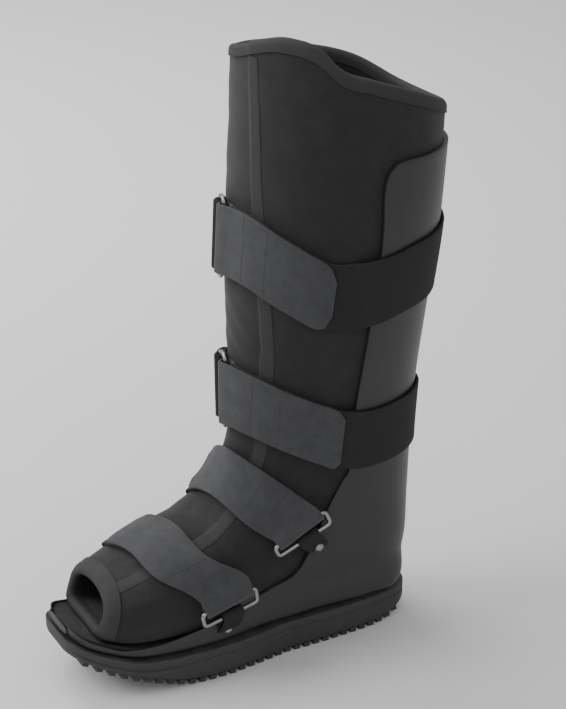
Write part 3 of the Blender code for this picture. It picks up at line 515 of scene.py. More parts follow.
def wireTree():  # a closed line swept into round wire
    tree, given = nodeTree("bentWire", [
        ("Wire Radius", "NodeSocketFloat", 0.0017), ("Sides", "NodeSocketInt", 18),
        ("Material", "NodeSocketMaterial", None)])
    line = node(tree, "GeometryNodeMeshToCurve", {"Mesh": given["Geometry"]}).outputs[0]
    section = node(tree, "GeometryNodeCurvePrimitiveCircle", {"Resolution": given["Sides"],
                                                              "Radius": given["Wire Radius"]})
    wire = node(tree, "GeometryNodeCurveToMesh", {"Curve": line, "Profile Curve": section.outputs[0]})
    return closeTree(tree, given, wire.outputs[0])


def rivetTree():  # a domed head on a flat flange at each point, facing its stored direction
    tree, given = nodeTree("rivetHeads", [
        ("Head Radius", "NodeSocketFloat", 0.0036), ("Head Height", "NodeSocketFloat", 0.0022),
        ("Material", "NodeSocketMaterial", None)])
    flangeDepth = math2(tree, "MULTIPLY", given["Head Height"], 0.3)
    flange = node(tree, "GeometryNodeMeshCylinder", {"Vertices": 32, "Radius": given["Head Radius"],
                                                     "Depth": flangeDepth})
    domeRadius = math2(tree, "MULTIPLY", given["Head Radius"], 0.86)
    dome = node(tree, "GeometryNodeMeshUVSphere", {"Segments": 32, "Rings": 16, "Radius": domeRadius})
    flat = math2(tree, "DIVIDE", given["Head Height"], domeRadius)
    squash = node(tree, "ShaderNodeCombineXYZ", {"X": 1.0, "Y": 1.0, "Z": flat})
    domed = node(tree, "GeometryNodeTransform", {
        "Geometry": dome.outputs["Mesh"], "Scale": squash.outputs[0]})
    head = node(tree, "GeometryNodeJoinGeometry")
    tree.links.new(flange.outputs["Mesh"], head.inputs[0])
    tree.links.new(domed.outputs[0], head.inputs[0])
    facing = node(tree, "GeometryNodeInputNamedAttribute", {"Name": "facing"}, data_type="FLOAT_VECTOR")
    turnTo = node(tree, "FunctionNodeAlignRotationToVector", {"Vector": facing.outputs["Attribute"]},
                  axis="Z")
    heads = node(tree, "GeometryNodeInstanceOnPoints", {
        "Points": given["Geometry"], "Instance": head.outputs[0], "Rotation": turnTo.outputs[0]})
    return closeTree(tree, given, heads.outputs[0])


def lugTree():  # one tread bar at each point, with its stored size and slope
    tree, given = nodeTree("treadLugs", [("Material", "NodeSocketMaterial", None)])
    block = node(tree, "GeometryNodeMeshCube", {"Size": (1.0, 1.0, 1.0)})
    size = node(tree, "GeometryNodeInputNamedAttribute", {"Name": "size"}, data_type="FLOAT_VECTOR")
    slope = node(tree, "GeometryNodeInputNamedAttribute", {"Name": "slope"}, data_type="FLOAT_VECTOR")
    turnTo = node(tree, "FunctionNodeEulerToRotation", {"Euler": slope.outputs["Attribute"]})
    bars = node(tree, "GeometryNodeInstanceOnPoints", {
        "Points": given["Geometry"], "Instance": block.outputs["Mesh"],
        "Rotation": turnTo.outputs[0], "Scale": size.outputs["Attribute"]})
    return closeTree(tree, given, bars.outputs[0], rounded=False)


def grownFrom(name, tree, points, edges, values, attributes=None):
    mesh = bpy.data.meshes.new(name)
    mesh.from_pydata([tuple(float(v) for v in p) for p in np.reshape(points, (-1, 3)) + shift], edges, [])
    for label, vectors in (attributes or {}).items():
        stored = mesh.attributes.new(label, "FLOAT_VECTOR", "POINT")
        stored.data.foreach_set("vector", np.asarray(vectors, np.float32).ravel())
    made = bpy.data.objects.new(name, mesh)
    bpy.context.scene.collection.objects.link(made)
    modifier = made.modifiers.new("grown", "NODES")
    modifier.node_group = tree
    for item in tree.interface.items_tree:
        if item.in_out == "INPUT" and item.name in values:
            modifier[item.identifier] = values[item.name]
    return bake(made)


stitchRun, bentWire, rivetHeads, treadLugs = stitchTree(), wireTree(), rivetTree(), lugTree()
seams = {"strap": [], "liner": []}  # lines of points that the stitches follow


def sewSeams(name, lines, pitch, radius, slot):
    points = np.concatenate([np.array(line) for line in lines])
    edges, first = [], 0
    for line in lines:
        edges += [(first + i, first + i + 1) for i in range(len(line) - 1)]
        first += len(line)
    values = {"Pitch": pitch, "Thread Radius": radius, "Material": finishes["thread"]}
    return place(grownFrom(name, stitchRun, points, edges, values), slot)


print("node trees ready")

outsole = {
    "sliceStep": 0.002, "chamfer": 0.003, "edgeRound": 0.0012, "endShare": 0.03, "grooveDepth": 0.0011,
    "grooveWidth": 0.0022, "grooveDown": 0.0058, "treadPitch": 0.0085, "treadDepth": 0.003,
    "lugShare": 0.58, "lugInset": 0.0006, "lugRoom": 0.0008, "lugSink": 0.0006, "centreGap": 0.006,
}


def makeOutsole():
    toe, heel = -boot["toeShare"] * boot["soleLength"], heelShare * boot["soleLength"]
    endRoom = outsole["endShare"] * boot["soleLength"]
    soft = outsole["edgeRound"]
    ends = [endRoom * (1 - math.cos(k * math.pi / 24)) for k in range(3, 12)]
    between = np.arange(toe + ends[-1] + outsole["sliceStep"], heel - ends[-1], outsole["sliceStep"])
    along = np.concatenate([[toe + e for e in ends], between, [heel - e for e in reversed(ends)]])
    # profile up the wall: share of height or distance below the top edge, and inset
    loops = []
    for y in along:
        half = float(soleHalf(y))
        low, top = float(treadZ(y)) + outsole["treadDepth"], float(soleZ(y))
        tall = top - low
        cut = min(outsole["chamfer"], 0.3 * half, 0.3 * tall)
        down = min(outsole["grooveDown"], 0.45 * tall)
        groove = min(outsole["grooveWidth"], 0.2 * tall)
        depth = min(outsole["grooveDepth"], 0.2 * half)
        wall = [(half - cut, low), (half - 0.45 * cut, low + 0.4 * cut), (half - 0.1 * cut, low + cut)]
        wall += [(half, low + 0.5 * (tall - down)), (half, top - down - groove)]
        wall += [(half - 0.85 * depth, top - down - 0.75 * groove), (half - depth, top - down - 0.5 * groove)]
        wall += [(half - 0.85 * depth, top - down - 0.25 * groove), (half, top - down)]
        wall += [(half, top - soft), (half - soft / 3, top - soft / 3), (half - soft, top)]
        side = [(x, y, z) for x, z in wall]
        loops.append(side + [(-x, y, z) for x, _, z in reversed(side)])
    faces = stripFaces(len(loops), len(loops[0]))
    body = meshObject("sole_body", loops, faces, finishes["rubber"], sharp=50.0)
    count = int((heel - toe - 2 * endRoom) / outsole["treadPitch"])
    start = -(count * outsole["treadPitch"]) / 2 + (heel + toe) / 2
    places, sizes, slopes = [], [], []
    for k in range(count):
        near = start + k * outsole["treadPitch"]
        far = near + outsole["lugShare"] * outsole["treadPitch"]
        half = min(float(soleHalf(near)), float(soleHalf(far))) - outsole["lugInset"] - outsole["lugRoom"]
        low, lowFar = float(treadZ(near)), float(treadZ(far))
        tall = outsole["treadDepth"] + outsole["lugSink"]
        angle = math.atan2(lowFar - low, far - near)
        for side in (-1.0, 1.0):
            wide = half - outsole["centreGap"] / 2
            middle = side * (half + outsole["centreGap"] / 2) / 2
            places.append((middle, (near + far) / 2, (low + lowFar) / 2 + tall / 2))
            sizes.append((wide, far - near, tall))
            slopes.append((angle, 0.0, 0.0))
    lugs = grownFrom("tread_lugs", treadLugs, places, [], {"Material": finishes["rubber"]},
                     {"size": sizes, "slope": slopes})
    place(body, "sole_rubber", "outsole")
    place(lugs, "sole_rubber")


makeOutsole()
print("outsole made")

shellLook = {
    "columns": 61, "rows": 170, "cornerShare": 0.300, "bevel": 0.0009, "toeWallRows": 5, "topPull": 3.0,
    "flareHeight": 0.034, "flareInset": 0.0012, "toeRound": 0.36, "toeRows": 1.2,
}


def floorDrop(row, degrees):
    nearFloor = 1.0 - smooth((np.abs(degrees) - 46.0) / 14.0)
    return (boot["footbed"] + boot["gap"]) * nearFloor * (1.0 - smooth((row - 8.6) / 0.9))


def flared(points, row, inset):  # the tray's foot spreads out to the sole's edge, with a tighter corner
    flare = 1.0 - smooth((points[..., 2] - soleZ(points[..., 1])) / shellLook["flareHeight"])
    half = catmull(form, row)[..., 4] + boot["gap"] + boot["shellWall"] - inset
    wide = np.maximum(soleHalf(points[..., 1]) - shellLook["flareInset"] - inset, half)
    share = np.clip(np.abs(points[..., 0]) / half, 0.0, 1.0)
    spread = (half + (wide - half) * flare) * (1.0 - (1.0 - share) ** (1.0 + 2.0 * flare))
    toe = np.clip(1.0 - row / shellLook["toeRows"], 0.0, 1.0)  # the very toe is narrower
    spread = spread * (1.0 - shellLook["toeRound"] * toe ** 2)
    points[..., 0] = np.sign(points[..., 0]) * spread
    return points


def shellPoint(row, degrees):
    points = skin(row, np.radians(degrees), boot["gap"] + boot["shellWall"] / 2)
    points[..., 2] -= floorDrop(row, degrees)
    return flared(points, row, boot["shellWall"] / 2)


def crossing(values, places):
    past = int(np.argmax(values > 0))
    if past == 0:
        return float(places[-1] if values[0] <= 0 else places[0])
    share = values[past - 1] / (values[past - 1] - values[past])
    return float(places[past - 1] + share * (places[past] - places[past - 1]))


def sideAngle(row):
    degrees = np.linspace(1.0, 179.0, 357)
    points = shellPoint(np.full(degrees.shape, row), degrees)
    return crossing(-shellDepth(points[:, 1], points[:, 2]), degrees)


def topRow(degrees):
    rows = np.linspace(18.0, 14.0, 161)
    points = shellPoint(rows, np.full(rows.shape, degrees))
    return crossing(shellDepth(points[:, 1], points[:, 2]), rows)


def cornerRow():
    rows = np.linspace(12.5, 17.5, 101)
    angles = np.array([sideAngle(r) for r in rows])
    y = shellPoint(rows, angles)[:, 1]
    return crossing(y - shellLook["cornerShare"] * boot["soleLength"], rows)


def makeShell():
    corner = cornerRow()
    cornerAngle = sideAngle(corner)
    v = np.linspace(0.0, 1.0, shellLook["rows"])
    u = np.linspace(-1.0, 1.0, shellLook["columns"])
    side = np.array([sideAngle(r) for r in v * corner])
    top = np.array([topRow(abs(s) * cornerAngle) for s in u])
    row = v[:, None] * corner + (v[:, None] ** shellLook["topPull"]) * (top - corner)[None, :]
    grid = shellPoint(row, u[None, :] * side[:, None])
    # the toe wall stands on the tray's front edge, up to the height of its corners
    first = grid[0].copy()
    first[:, 1] -= boot["shellWall"] / 2
    rim = float(first[[0, -1], 2].mean())
    steps = np.linspace(1.0, 0.0, shellLook["toeWallRows"])
    wall = np.array([first + np.outer(t * (rim - first[:, 2]), (0.0, 0.0, 1.0)) for t in steps])
    grid = np.concatenate([wall[:-1], grid])
    faces = gridFaces(len(grid), len(u), wrapColumns=False)
    made = meshObject("shell_wall", grid, faces, finishes["shell"], sharp=60.0)
    work = bmesh.new()
    work.from_mesh(made.data)
    bmesh.ops.remove_doubles(work, verts=work.verts, dist=0.0002)
    outward = sum((f.normal.dot(f.calc_center_median() - Vector((shift[0], f.calc_center_median().y, 0.25)))
                   for f in work.faces if f.calc_center_median().z > 0.2))
    if outward < 0:
        bmesh.ops.reverse_faces(work, faces=work.faces)
    work.to_mesh(made.data)
    work.free()
    thick = made.modifiers.new("wall", "SOLIDIFY")
    thick.thickness = boot["shellWall"]
    thick.offset = 0.0
    thick.thickness_clamp = 1.0
    rounded = made.modifiers.new("rounded", "BEVEL")
    rounded.width = shellLook["bevel"]
    rounded.segments = 2
    rounded.limit_method = "ANGLE"
    rounded.angle_limit = math.radians(55.0)
    bake(made)
    place(made, "shell_plastic", "shell")


makeShell()
print("shell made")

footbedLook = {
    "rows": 110, "columns": 49, "lastRow": 8.0, "edgeRound": 0.0012, "ovalPlace": 0.93,
    "ovalHalf": (0.0145, 0.0085), "ovalDepth": 0.0005, "ovalLine": 0.0012,
}


def makeFootbed():
    rows = np.linspace(0.12, footbedLook["lastRow"], footbedLook["rows"])
    square = catmull(form, rows)[:, 5]
    limit = math.sin(math.radians(45.0)) ** (2 / square)
    shares = np.sin(np.linspace(-0.5, 0.5, footbedLook["columns"]) * math.pi)
    across = shares[None, :] * limit[:, None]
    angle = np.sign(across) * np.arcsin(np.abs(across) ** (square[:, None] / 2))
    wideRows = rows[:, None] * np.ones_like(across)
    top = flared(formPoint(wideRows, angle), wideRows, boot["shellWall"] + 2 * boot["gap"])
    top[..., 2] -= boot["gap"]
    low = top.copy()
    low[..., 2] -= boot["footbed"]
    ovalY = float(np.interp(footbedLook["ovalPlace"], rows, top[:, len(shares) // 2, 1]))
    halfX, halfY = footbedLook["ovalHalf"]
    reach = np.sqrt((top[..., 0] / halfX) ** 2 + ((top[..., 1] - ovalY) / halfY) ** 2)
    line = np.exp(-((reach - 1.0) * halfY / footbedLook["ovalLine"]) ** 2)
    top[..., 2] -= footbedLook["ovalDepth"] * line
    edgeRoom = np.minimum((top[:, -1:, 0] - np.abs(top[..., 0])), top[..., 1] - top[:1, :, 1])
    top[..., 2] -= 0.5 * footbedLook["edgeRound"] * (1.0 - smooth(edgeRoom / footbedLook["edgeRound"] / 2))
    loops = np.concatenate([top, low[:, ::-1]], axis=1)
    made = meshObject("footbed_pad", loops, stripFaces(len(rows), loops.shape[1]), finishes["footbed"])
    place(made, "footbed_cloth", "footbed")


makeFootbed()
print("footbed made")

strapLook = {
    "thickness": 0.0024, "step": 0.004, "ringWire": 0.0034, "ringSideRoom": 0.0015, "ringSpan": 0.0105,
    "foldRun": 0.0062, "sewnEnd": 0.028, "barRoom": 0.0009, "foldReach": 0.021, "straight": 0.013,
    "keeperWidth": 0.018, "keeperThickness": 0.0014, "keeperLength": 0.0155, "keeperSeat": 0.0012,
    "rivetRadius": 0.0036, "rivetHeight": 0.0022, "wave": 0.0003, "seamInset": 0.0028,
    "stitchPitch": 0.0030, "threadRadius": 0.00036, "legMiddle": 0.3,
}
calf = {"width": 0.052, "bar": 184.0, "tabEnd": 107.0, "corner": 0.013, "foldSeam": (19, 25), "route": [
    (-170, 14.30), (-120, 14.10), (-90, 14.20), (-46, 14.65), (0, 14.80), (46, 14.62), (72, 14.42),
    (90, 14.18), (110, 13.97), (135, 14.12), (160, 14.28), (190, 14.28)]}
shin = {"width": 0.050, "bar": 182.0, "tabEnd": 94.0, "corner": 0.006, "foldSeam": (19, 25), "route": [
    (-170, 10.08), (-122, 10.80), (-90, 11.35), (-46, 12.25), (0, 12.44), (46, 12.25), (82, 11.60),
    (94, 11.25), (122, 10.78), (165, 10.10), (190, 9.93)]}
instep = {
    "width": 0.041, "bar": 97.0, "anchor": 285.0, "tabEnd": 215.0, "corner": 0.008,
    "foldSeam": (19, 24), "route": [
    (60, 7.60), (90, 7.55), (130, 6.90), (180, 6.45), (204, 6.25), (240, 6.40), (270, 6.90), (300, 7.20)]}
forefoot = {
    "width": 0.040, "bar": 88.0, "anchor": 300.0, "tabEnd": 215.0, "corner": 0.008,
    "foldSeam": (19, 24), "route": [
    (50, 5.10), (86, 5.05), (130, 4.05), (180, 3.75), (204, 3.60), (235, 3.70), (270, 4.10), (310, 4.40)]}


def bandShares(width, thickness):
    edges = np.array([0.0, 0.07, 0.25, 0.5, 1.0]) * thickness / width
    inner = np.linspace(-0.5 + 2.5 * thickness / width, 0.5 - 2.5 * thickness / width, 9)
    return np.concatenate([-0.5 + edges, inner, 0.5 - edges[::-1]])


def routePoint(route, degrees):
    return formPoint(rowAt(route, degrees), np.radians(degrees))


def turned(route, degrees, distance):
    angles = degrees + math.copysign(1.0, distance) * np.linspace(0.0, 90.0, 361)
    steps = np.linalg.norm(np.diff(routePoint(route, angles), axis=0), axis=1)
    return float(np.interp(abs(distance), np.append(0.0, np.cumsum(steps)), angles))


def stations(route, start, stop):
    angles = np.linspace(start, stop, 721)
    run = np.append(0.0, np.cumsum(np.linalg.norm(np.diff(routePoint(route, angles), axis=0), axis=1)))
    count = max(math.ceil(run[-1] / strapLook["step"]), 1)
    return np.interp(np.linspace(0.0, run[-1], count + 1), run, angles), run[-1]


def across(route, degrees, lift, width, reach, shares):
    centre = float(rowAt(route, degrees))
    angle = math.radians(degrees)
    spans = shares * width / float(rowPace(centre, angle))
    spans *= width / np.linalg.norm(np.diff(formPoint(centre + spans, angle), axis=0), axis=1).sum()
    under = float(cover(centre + spans * reach / width, angle).max()) + lift
    return skin(centre + spans, angle, under)


def barOn(route, degrees, lift, width):
    ends = np.linspace(-0.5, 0.5, 5)
    before, here, after = (across(route, degrees + t, lift, width, width, ends) for t in (-1.0, 0.0, 1.0))
    way = unit(here[-1] - here[0])
    ahead = after.mean(0) - before.mean(0)
    ahead = unit(ahead - way * ahead.dot(way))
    out = np.cross(way, ahead)
    middle = (here[0] + here[-1]) / 2
    middle = middle + out * max(float(((here - middle) @ out).max()), 0.0)
    return {"middle": middle, "way": way, "ahead": ahead, "out": out, "lift": lift}


def roundBar(bar, radius, toward, width, shares):
    turns = np.linspace(-0.5, 0.5, 13) * math.pi
    flat = shares[:, None] * width * bar["way"]
    return [bar["middle"] + radius * (math.cos(a) * toward * bar["ahead"] + math.sin(a) * bar["out"]) + flat
            for a in turns]


def layer(route, angles, distances, lift, width, reach, shares, bar, toward, rise):
    # lines across one layer: those close to the bar turn straight, and rise to go over it
    lines = []
    for degrees, away in zip(angles, distances):
        near = float(smooth((strapLook["straight"] - away) / strapLook["straight"]))
        lifted = lift + rise * max(0.0, (strapLook["foldReach"] - away) / strapLook["foldReach"]) ** 2.4
        line = across(route, float(degrees), lifted, width, reach, shares)
        flat = (bar["middle"] - toward * bar["ahead"] * away + bar["out"] * (lifted - bar["lift"])
                + shares[:, None] * width * bar["way"])
        lines.append(line * (1 - near) + flat * near)
    return lines


def layerSizes(seat, thickness):
    low = seat + thickness / 2
    bar = seat + thickness + strapLook["barRoom"] + strapLook["ringWire"] / 2
    return low, low + thickness + boot["seat"], bar, bar - low


def facing(lines):
    lines = np.array(lines)
    return unit(np.cross(np.gradient(lines.mean(1), axis=0), lines[:, -1] - lines[:, 0]))


def ribbon(name, lines, thickness, width, material, shares, corners=(0.0, 0.0), wave=0.0):
    # a closed band through lines across it, with soft edges and rounded end corners
    lines = np.array(lines)
    run = np.append(0.0, np.cumsum(np.linalg.norm(np.diff(lines.mean(1), axis=0), axis=1)))
    out = facing(lines)
    for radius, away in ((corners[0], run), (corners[1], run[-1] - run)):
        if radius > 0:
            bow = np.sqrt(np.clip(radius ** 2 - (radius - away) ** 2, 0, None))
            inset = np.where(away < radius, radius - bow, 0.0)
            scale = 1.0 - 2 * inset / width
            middle = (lines[:, :1] + lines[:, -1:]) / 2
            lines = middle + (lines - middle) * scale[:, None, None]
    lines = lines + out[:, None, :] * (wave * (1 + np.sin(run / 0.0125 + 1.0)))[:, None, None]
    edgeRoom = np.clip((0.5 - np.abs(shares)) * width / (thickness / 2), 0.0, 1.0)
    half = out[:, None, :] * (thickness / 2 * np.sqrt(1.0 - (1.0 - edgeRoom) ** 2))[None, :, None]
    loops = np.concatenate([lines + half, (lines - half)[:, 1:-1][:, ::-1]], axis=1)
    uvAcross = np.concatenate([shares, shares[1:-1][::-1]]) * width
    uv = np.stack(np.meshgrid(run, uvAcross, indexing="ij"), -1)
    made = meshObject(name, loops, stripFaces(len(loops), loops.shape[1]), material, uv, sharp=70.0)
    return made, lines, out, float(run[-1])


def seamLine(lines, out, shares, first, last, share, thickness):
    at = np.array([[np.interp(share, shares, line[:, k]) for k in range(3)] for line in lines[first:last]])
    return at + out[first:last] * (thickness / 2 + 0.1 * strapLook["threadRadius"])


def seamAcross(lines, out, shares, index, low, high, thickness):
    picks = np.linspace(low, high, 9)
    at = np.array([[np.interp(s, shares, lines[index][:, k]) for k in range(3)] for s in picks])
    return at + out[index] * (thickness / 2 + 0.1 * strapLook["threadRadius"])


def boxSeam(made, shares, width, first, last, thickness, outer=1.0):
    _, lines, out, _ = made
    edge = 0.5 - strapLook["seamInset"] / width
    out = out * outer
    seams["strap"].append(seamLine(lines, out, shares, first, last, -edge, thickness))
    seams["strap"].append(seamLine(lines, out, shares, first, last, edge, thickness))
    for index in (first, last - 1):
        seams["strap"].append(seamAcross(lines, out, shares, index, -edge, edge, thickness))


def makeRing(name, front, rear, width, nodeName):
    half = width / 2 + strapLook["ringSideRoom"] + strapLook["ringWire"] / 2
    back = rear["middle"] - front["middle"]
    back = back - front["way"] * back.dot(front["way"])
    acrossGap = np.linalg.norm(back)
    corner = 0.9 * strapLook["ringWire"]
    points = []
    for turn, along, side in ((0, 1, 1), (1, -1, 1), (2, -1, -1), (3, 1, -1)):
        for k in range(7):
            a = (turn + k / 6) * math.pi / 2
            reach = along * (acrossGap / 2 - corner) + corner * math.cos(a)
            share = 0.5 + reach / acrossGap
            middle = front["middle"] + back * (1.0 - share)
            way = rear["way"] + (front["way"] - rear["way"]) * share
            points.append(middle + way * (side * (half - corner) + corner * math.sin(a)))
    edges = [(i, (i + 1) % len(points)) for i in range(len(points))]
    values = {"Wire Radius": strapLook["ringWire"] / 2, "Sides": 18, "Material": finishes["steel"]}
    made = grownFrom(name, bentWire, points, edges, values)
    place(made, "ring_steel", nodeName)


def makeRivet(name, lines, out, index, thickness, nodeName):
    centre = lines[index].mean(0)
    side = out[index]
    if side.dot(centre - (0.0, centre[1], boot["soleHeight"])) < 0:
        side = -side
    bulge = max(float(((lines[index] - centre) @ side).max()), 0.0)
    centre = centre + side * (bulge + thickness / 2 + 0.15 * strapLook["rivetHeight"])
    values = {"Head Radius": strapLook["rivetRadius"], "Head Height": 0.85 * strapLook["rivetHeight"],
              "Material": finishes["steel"]}
    place(grownFrom(name, rivetHeads, [centre], [], values, {"facing": [side]}), "rivet_steel", nodeName)


def declareBand(made, width, rests, slot, *nodes):
    place(made[0], slot, *nodes)


def outerSign(made, height):  # 1 where a band's normals near its free end point out of the boot
    middle = made[1][-3].mean(0)
    return 1.0 if made[2][-3].dot(middle - (0.0, middle[1], height)) > 0 else -1.0


def makeLoopStrap(name, strap):
    width, route, thickness = strap["width"], strap["route"], strapLook["thickness"]
    shares = bandShares(width, thickness)
    low, high, barLift, radius = layerSizes(boot["seat"], thickness)
    rearAngle = turned(route, strap["bar"], strapLook["ringSpan"]) - 360.0
    front, rear = barOn(route, strap["bar"], barLift, width), barOn(route, rearAngle, barLift, width)
    start = turned(route, rearAngle, strapLook["foldRun"])
    under, run = stations(route, start, turned(route, strap["bar"], -strapLook["foldRun"]))
    fromRear = np.linspace(0.0, run, len(under)) + strapLook["foldRun"]
    fromFront = run + 2 * strapLook["foldRun"] - fromRear
    lines = layer(route, under, fromRear, low, width, width, shares, rear, -1.0, 0.0)
    nearFront = layer(route, under, fromFront, low, width, width, shares, front, 1.0, 0.0)
    half = len(under) // 2
    lower = lines[:half] + nearFront[half:]
    rise = barLift + radius - high
    sewnCount = int(strapLook["sewnEnd"] / strapLook["step"])
    sewn = layer(route, under[:sewnCount], fromRear[:sewnCount], high, width, width, shares, rear, -1.0, rise)
    top = under >= strap["tabEnd"]
    tabLines = layer(route, under[top], fromFront[top], high, width, width, shares, front, 1.0, rise)
    baseLines = [*sewn[::-1], *roundBar(rear, radius, -1.0, width, shares)[::-1], *lower]
    tabLines = [lower[-1], *roundBar(front, radius, 1.0, width, shares), *tabLines[::-1]]
    base = ribbon(name + "_base", baseLines, thickness, width, finishes["base"], shares, corners=(0.003, 0.0))
    tab = ribbon(name + "_tab", tabLines, thickness, width, finishes["tab"], shares,
                 corners=(0.0, strap["corner"]), wave=strapLook["wave"])
    declareBand(base, width, ["liner_pad", "shell_wall"], "strap_cloth", name + "_strap")
    declareBand(tab, width, [name + "_base"], "strap_cloth")
    baseSign = -1.0 if base[2][2].dot(rear["out"]) < 0 else 1.0
    boxSeam(base, shares, width, 1, sewnCount - 1, thickness, baseSign)
    boxSeam(tab, shares, width, *strap["foldSeam"], thickness, outerSign(tab, strapLook["legMiddle"]))
    makeRing(name + "_wire", front, rear, width, name + "_ring")


def makeSideStrap(name, strap):
    width, route, thickness = strap["width"], strap["route"], strapLook["thickness"]
    shares = bandShares(width, thickness)
    low, high, barLift, radius = layerSizes(boot["seat"], thickness)
    front = barOn(route, strap["bar"], barLift, width)
    under, run = stations(route, strap["anchor"], turned(route, strap["bar"], strapLook["foldRun"]))
    fromFront = run + strapLook["foldRun"] - np.linspace(0.0, run, len(under))
    lower = layer(route, under, fromFront, low, width, width, shares, front, -1.0, 0.0)
    top = under <= strap["tabEnd"]
    rise = barLift + radius - high
    upper = layer(route, under[top], fromFront[top], high, width, width, shares, front, -1.0, rise)
    tabLines = [lower[-1], *roundBar(front, radius, -1.0, width, shares), *upper[::-1]]
    base = ribbon(name + "_base", lower, thickness, width, finishes["base"], shares, corners=(0.003, 0.0))
    tab = ribbon(name + "_tab", tabLines, thickness, width, finishes["tab"], shares,
                 corners=(0.0, strap["corner"]), wave=strapLook["wave"])
    declareBand(base, width, ["liner_pad", "shell_wall"], "strap_cloth", name + "_strap")
    declareBand(tab, width, [name + "_base"], "strap_cloth")
    boxSeam(tab, shares, width, *strap["foldSeam"], thickness, outerSign(tab, boot["soleHeight"]))
    makeRivet(name + "_far_head", base[1], base[2], 1, thickness, name + "_far_rivet")

    thin, narrow = strapLook["keeperThickness"], strapLook["keeperWidth"]
    keeperShares = bandShares(narrow, thin)
    low, high, barLift, radius = layerSizes(strapLook["keeperSeat"], thin)
    rearAngle = turned(route, strap["bar"], -strapLook["ringSpan"])
    rear = barOn(route, rearAngle, barLift, width)
    near = turned(route, rearAngle, -0.4 * strapLook["foldRun"])
    end = turned(route, rearAngle, -strapLook["keeperLength"])
    angles = np.linspace(end, near, 9)
    away = np.linspace(strapLook["keeperLength"], 0.4 * strapLook["foldRun"], 9)
    lower = layer(route, angles, away, low, narrow, width, keeperShares, rear, 1.0, 0.0)
    upper = layer(route, angles, away, high, narrow, width, keeperShares, rear, 1.0, barLift + radius - high)
    lines = [*lower, *roundBar(rear, radius, 1.0, narrow, keeperShares), *upper[::-1]]
    keeper = ribbon(name + "_loop", lines, thin, narrow, finishes["base"], keeperShares,
                    corners=(0.002, 0.002))
    declareBand(keeper, narrow, ["shell_wall"], "keeper_cloth", name + "_keeper")
    makeRivet(name + "_head", keeper[1], keeper[2], len(lines) - 2, thin, name + "_rivet")
    makeRing(name + "_wire", front, rear, width, name + "_ring")


makeLoopStrap("calf", calf)
makeLoopStrap("shin", shin)
makeSideStrap("instep", instep)
makeSideStrap("forefoot", forefoot)
print("straps and rings made")

linerLook = {
    "rows": 104, "columns": 96, "rimArc": 5, "flapColumn": 165.0, "heldReach": 0.012, "strapRoom": 0.006,
    "outerCap": 0.0055, "innerCap": 0.0015, "wrinkle": 0.0006, "pressure": 5.0, "frames": 20,
    "bindingReach": 0.0085, "bindingThickness": 0.0010, "tapeWidth": 0.010, "tapeThickness": 0.0008,
    "tapeRows": 150,
}
topSlice = len(sections) - 1


def rimRow(columns):
    return rowAt(linerRim, np.mod(columns + 180.0, 360.0) - 180.0)


def linerWall(rows, columns, inner=False, extra=0.0):
    turn = flapAngle(rows) - linerLook["flapColumn"]
    weight = smooth((columns - 100.0) / 50.0) + smooth((-columns - 130.0) / 50.0)
    degrees = columns + turn * weight
    if inner:
        return formPoint(rows, np.radians(degrees), boot["linerWall"])
    raised = flapHeight(rows, degrees, 0.0, 1.2)
    raised = np.where(columns > linerLook["flapColumn"] + 1.0, 0.0, raised)
    return skin(rows, np.radians(degrees), raised + extra)


def linerColumns():
    even = np.arange(linerLook["columns"]) * 360.0 / linerLook["columns"] - 180.0
    flap = linerLook["flapColumn"]
    even = even[(np.abs(even - flap) > 1.2) & (np.abs(even - flap - 1.5) > 1.2)]
    return np.sort(np.append(even, [flap, flap + 1.5]))


def rimArc(outer, inner, ahead, count):  # half circle over the edge from the outer wall to the inner one
    turns = np.linspace(0.0, math.pi, count + 2)[1:-1]
    middle, arm = (outer + inner) / 2, (outer - inner) / 2
    lift = np.linalg.norm(arm, axis=-1, keepdims=True) * ahead
    return [middle + arm * math.cos(t) + lift * math.sin(t) for t in turns]


def heldShare(rows, degrees, points, top):
    # 1 where a strap, the shell, a tape or an edge holds the cloth down, 0 where it is free
    angle = np.radians(degrees)
    pace = np.maximum(rowPace(np.clip(rows, 0.1, topSlice - 0.1), angle), 1e-4)
    away = np.minimum(np.abs(top - rows) * pace, np.abs(rows - mouthRow) * pace)
    held = 1.0 - smooth((away - 0.5 * linerLook["heldReach"]) / linerLook["heldReach"])
    for strap, start, stop in ((calf, -180, 190), (shin, -180, 190), (instep, 85, 290), (forefoot, 75, 305)):
        around = np.mod(degrees - start, 360.0) + start
        route = rowAt(strap["route"], np.where(around > strap["route"][-1][0], around - 360.0, around))
        off = np.abs(rows - route) * pace - strap["width"] / 2 - linerLook["strapRoom"]
        here = 1.0 - smooth(off / linerLook["heldReach"])
        held = np.maximum(held, np.where(around <= stop, here, 0.0))
    behind = smooth((shellDepth(points[..., 1], points[..., 2]) + 0.003) / linerLook["heldReach"] + 1.0)
    arm = np.linalg.norm(formPoint(rows, angle + 0.01) - formPoint(rows, angle - 0.01), axis=-1) / 0.02
    fromFlap = np.radians(np.mod(degrees - flapAngle(rows) + 180.0, 360.0) - 180.0) * arm
    tapeHalf = linerLook["tapeWidth"] / 2
    flap = 1.0 - smooth((np.abs(fromFlap + tapeHalf) - tapeHalf - 0.003) / linerLook["heldReach"])
    return np.clip(np.maximum(np.maximum(held, behind), flap), 0.0, 1.0)


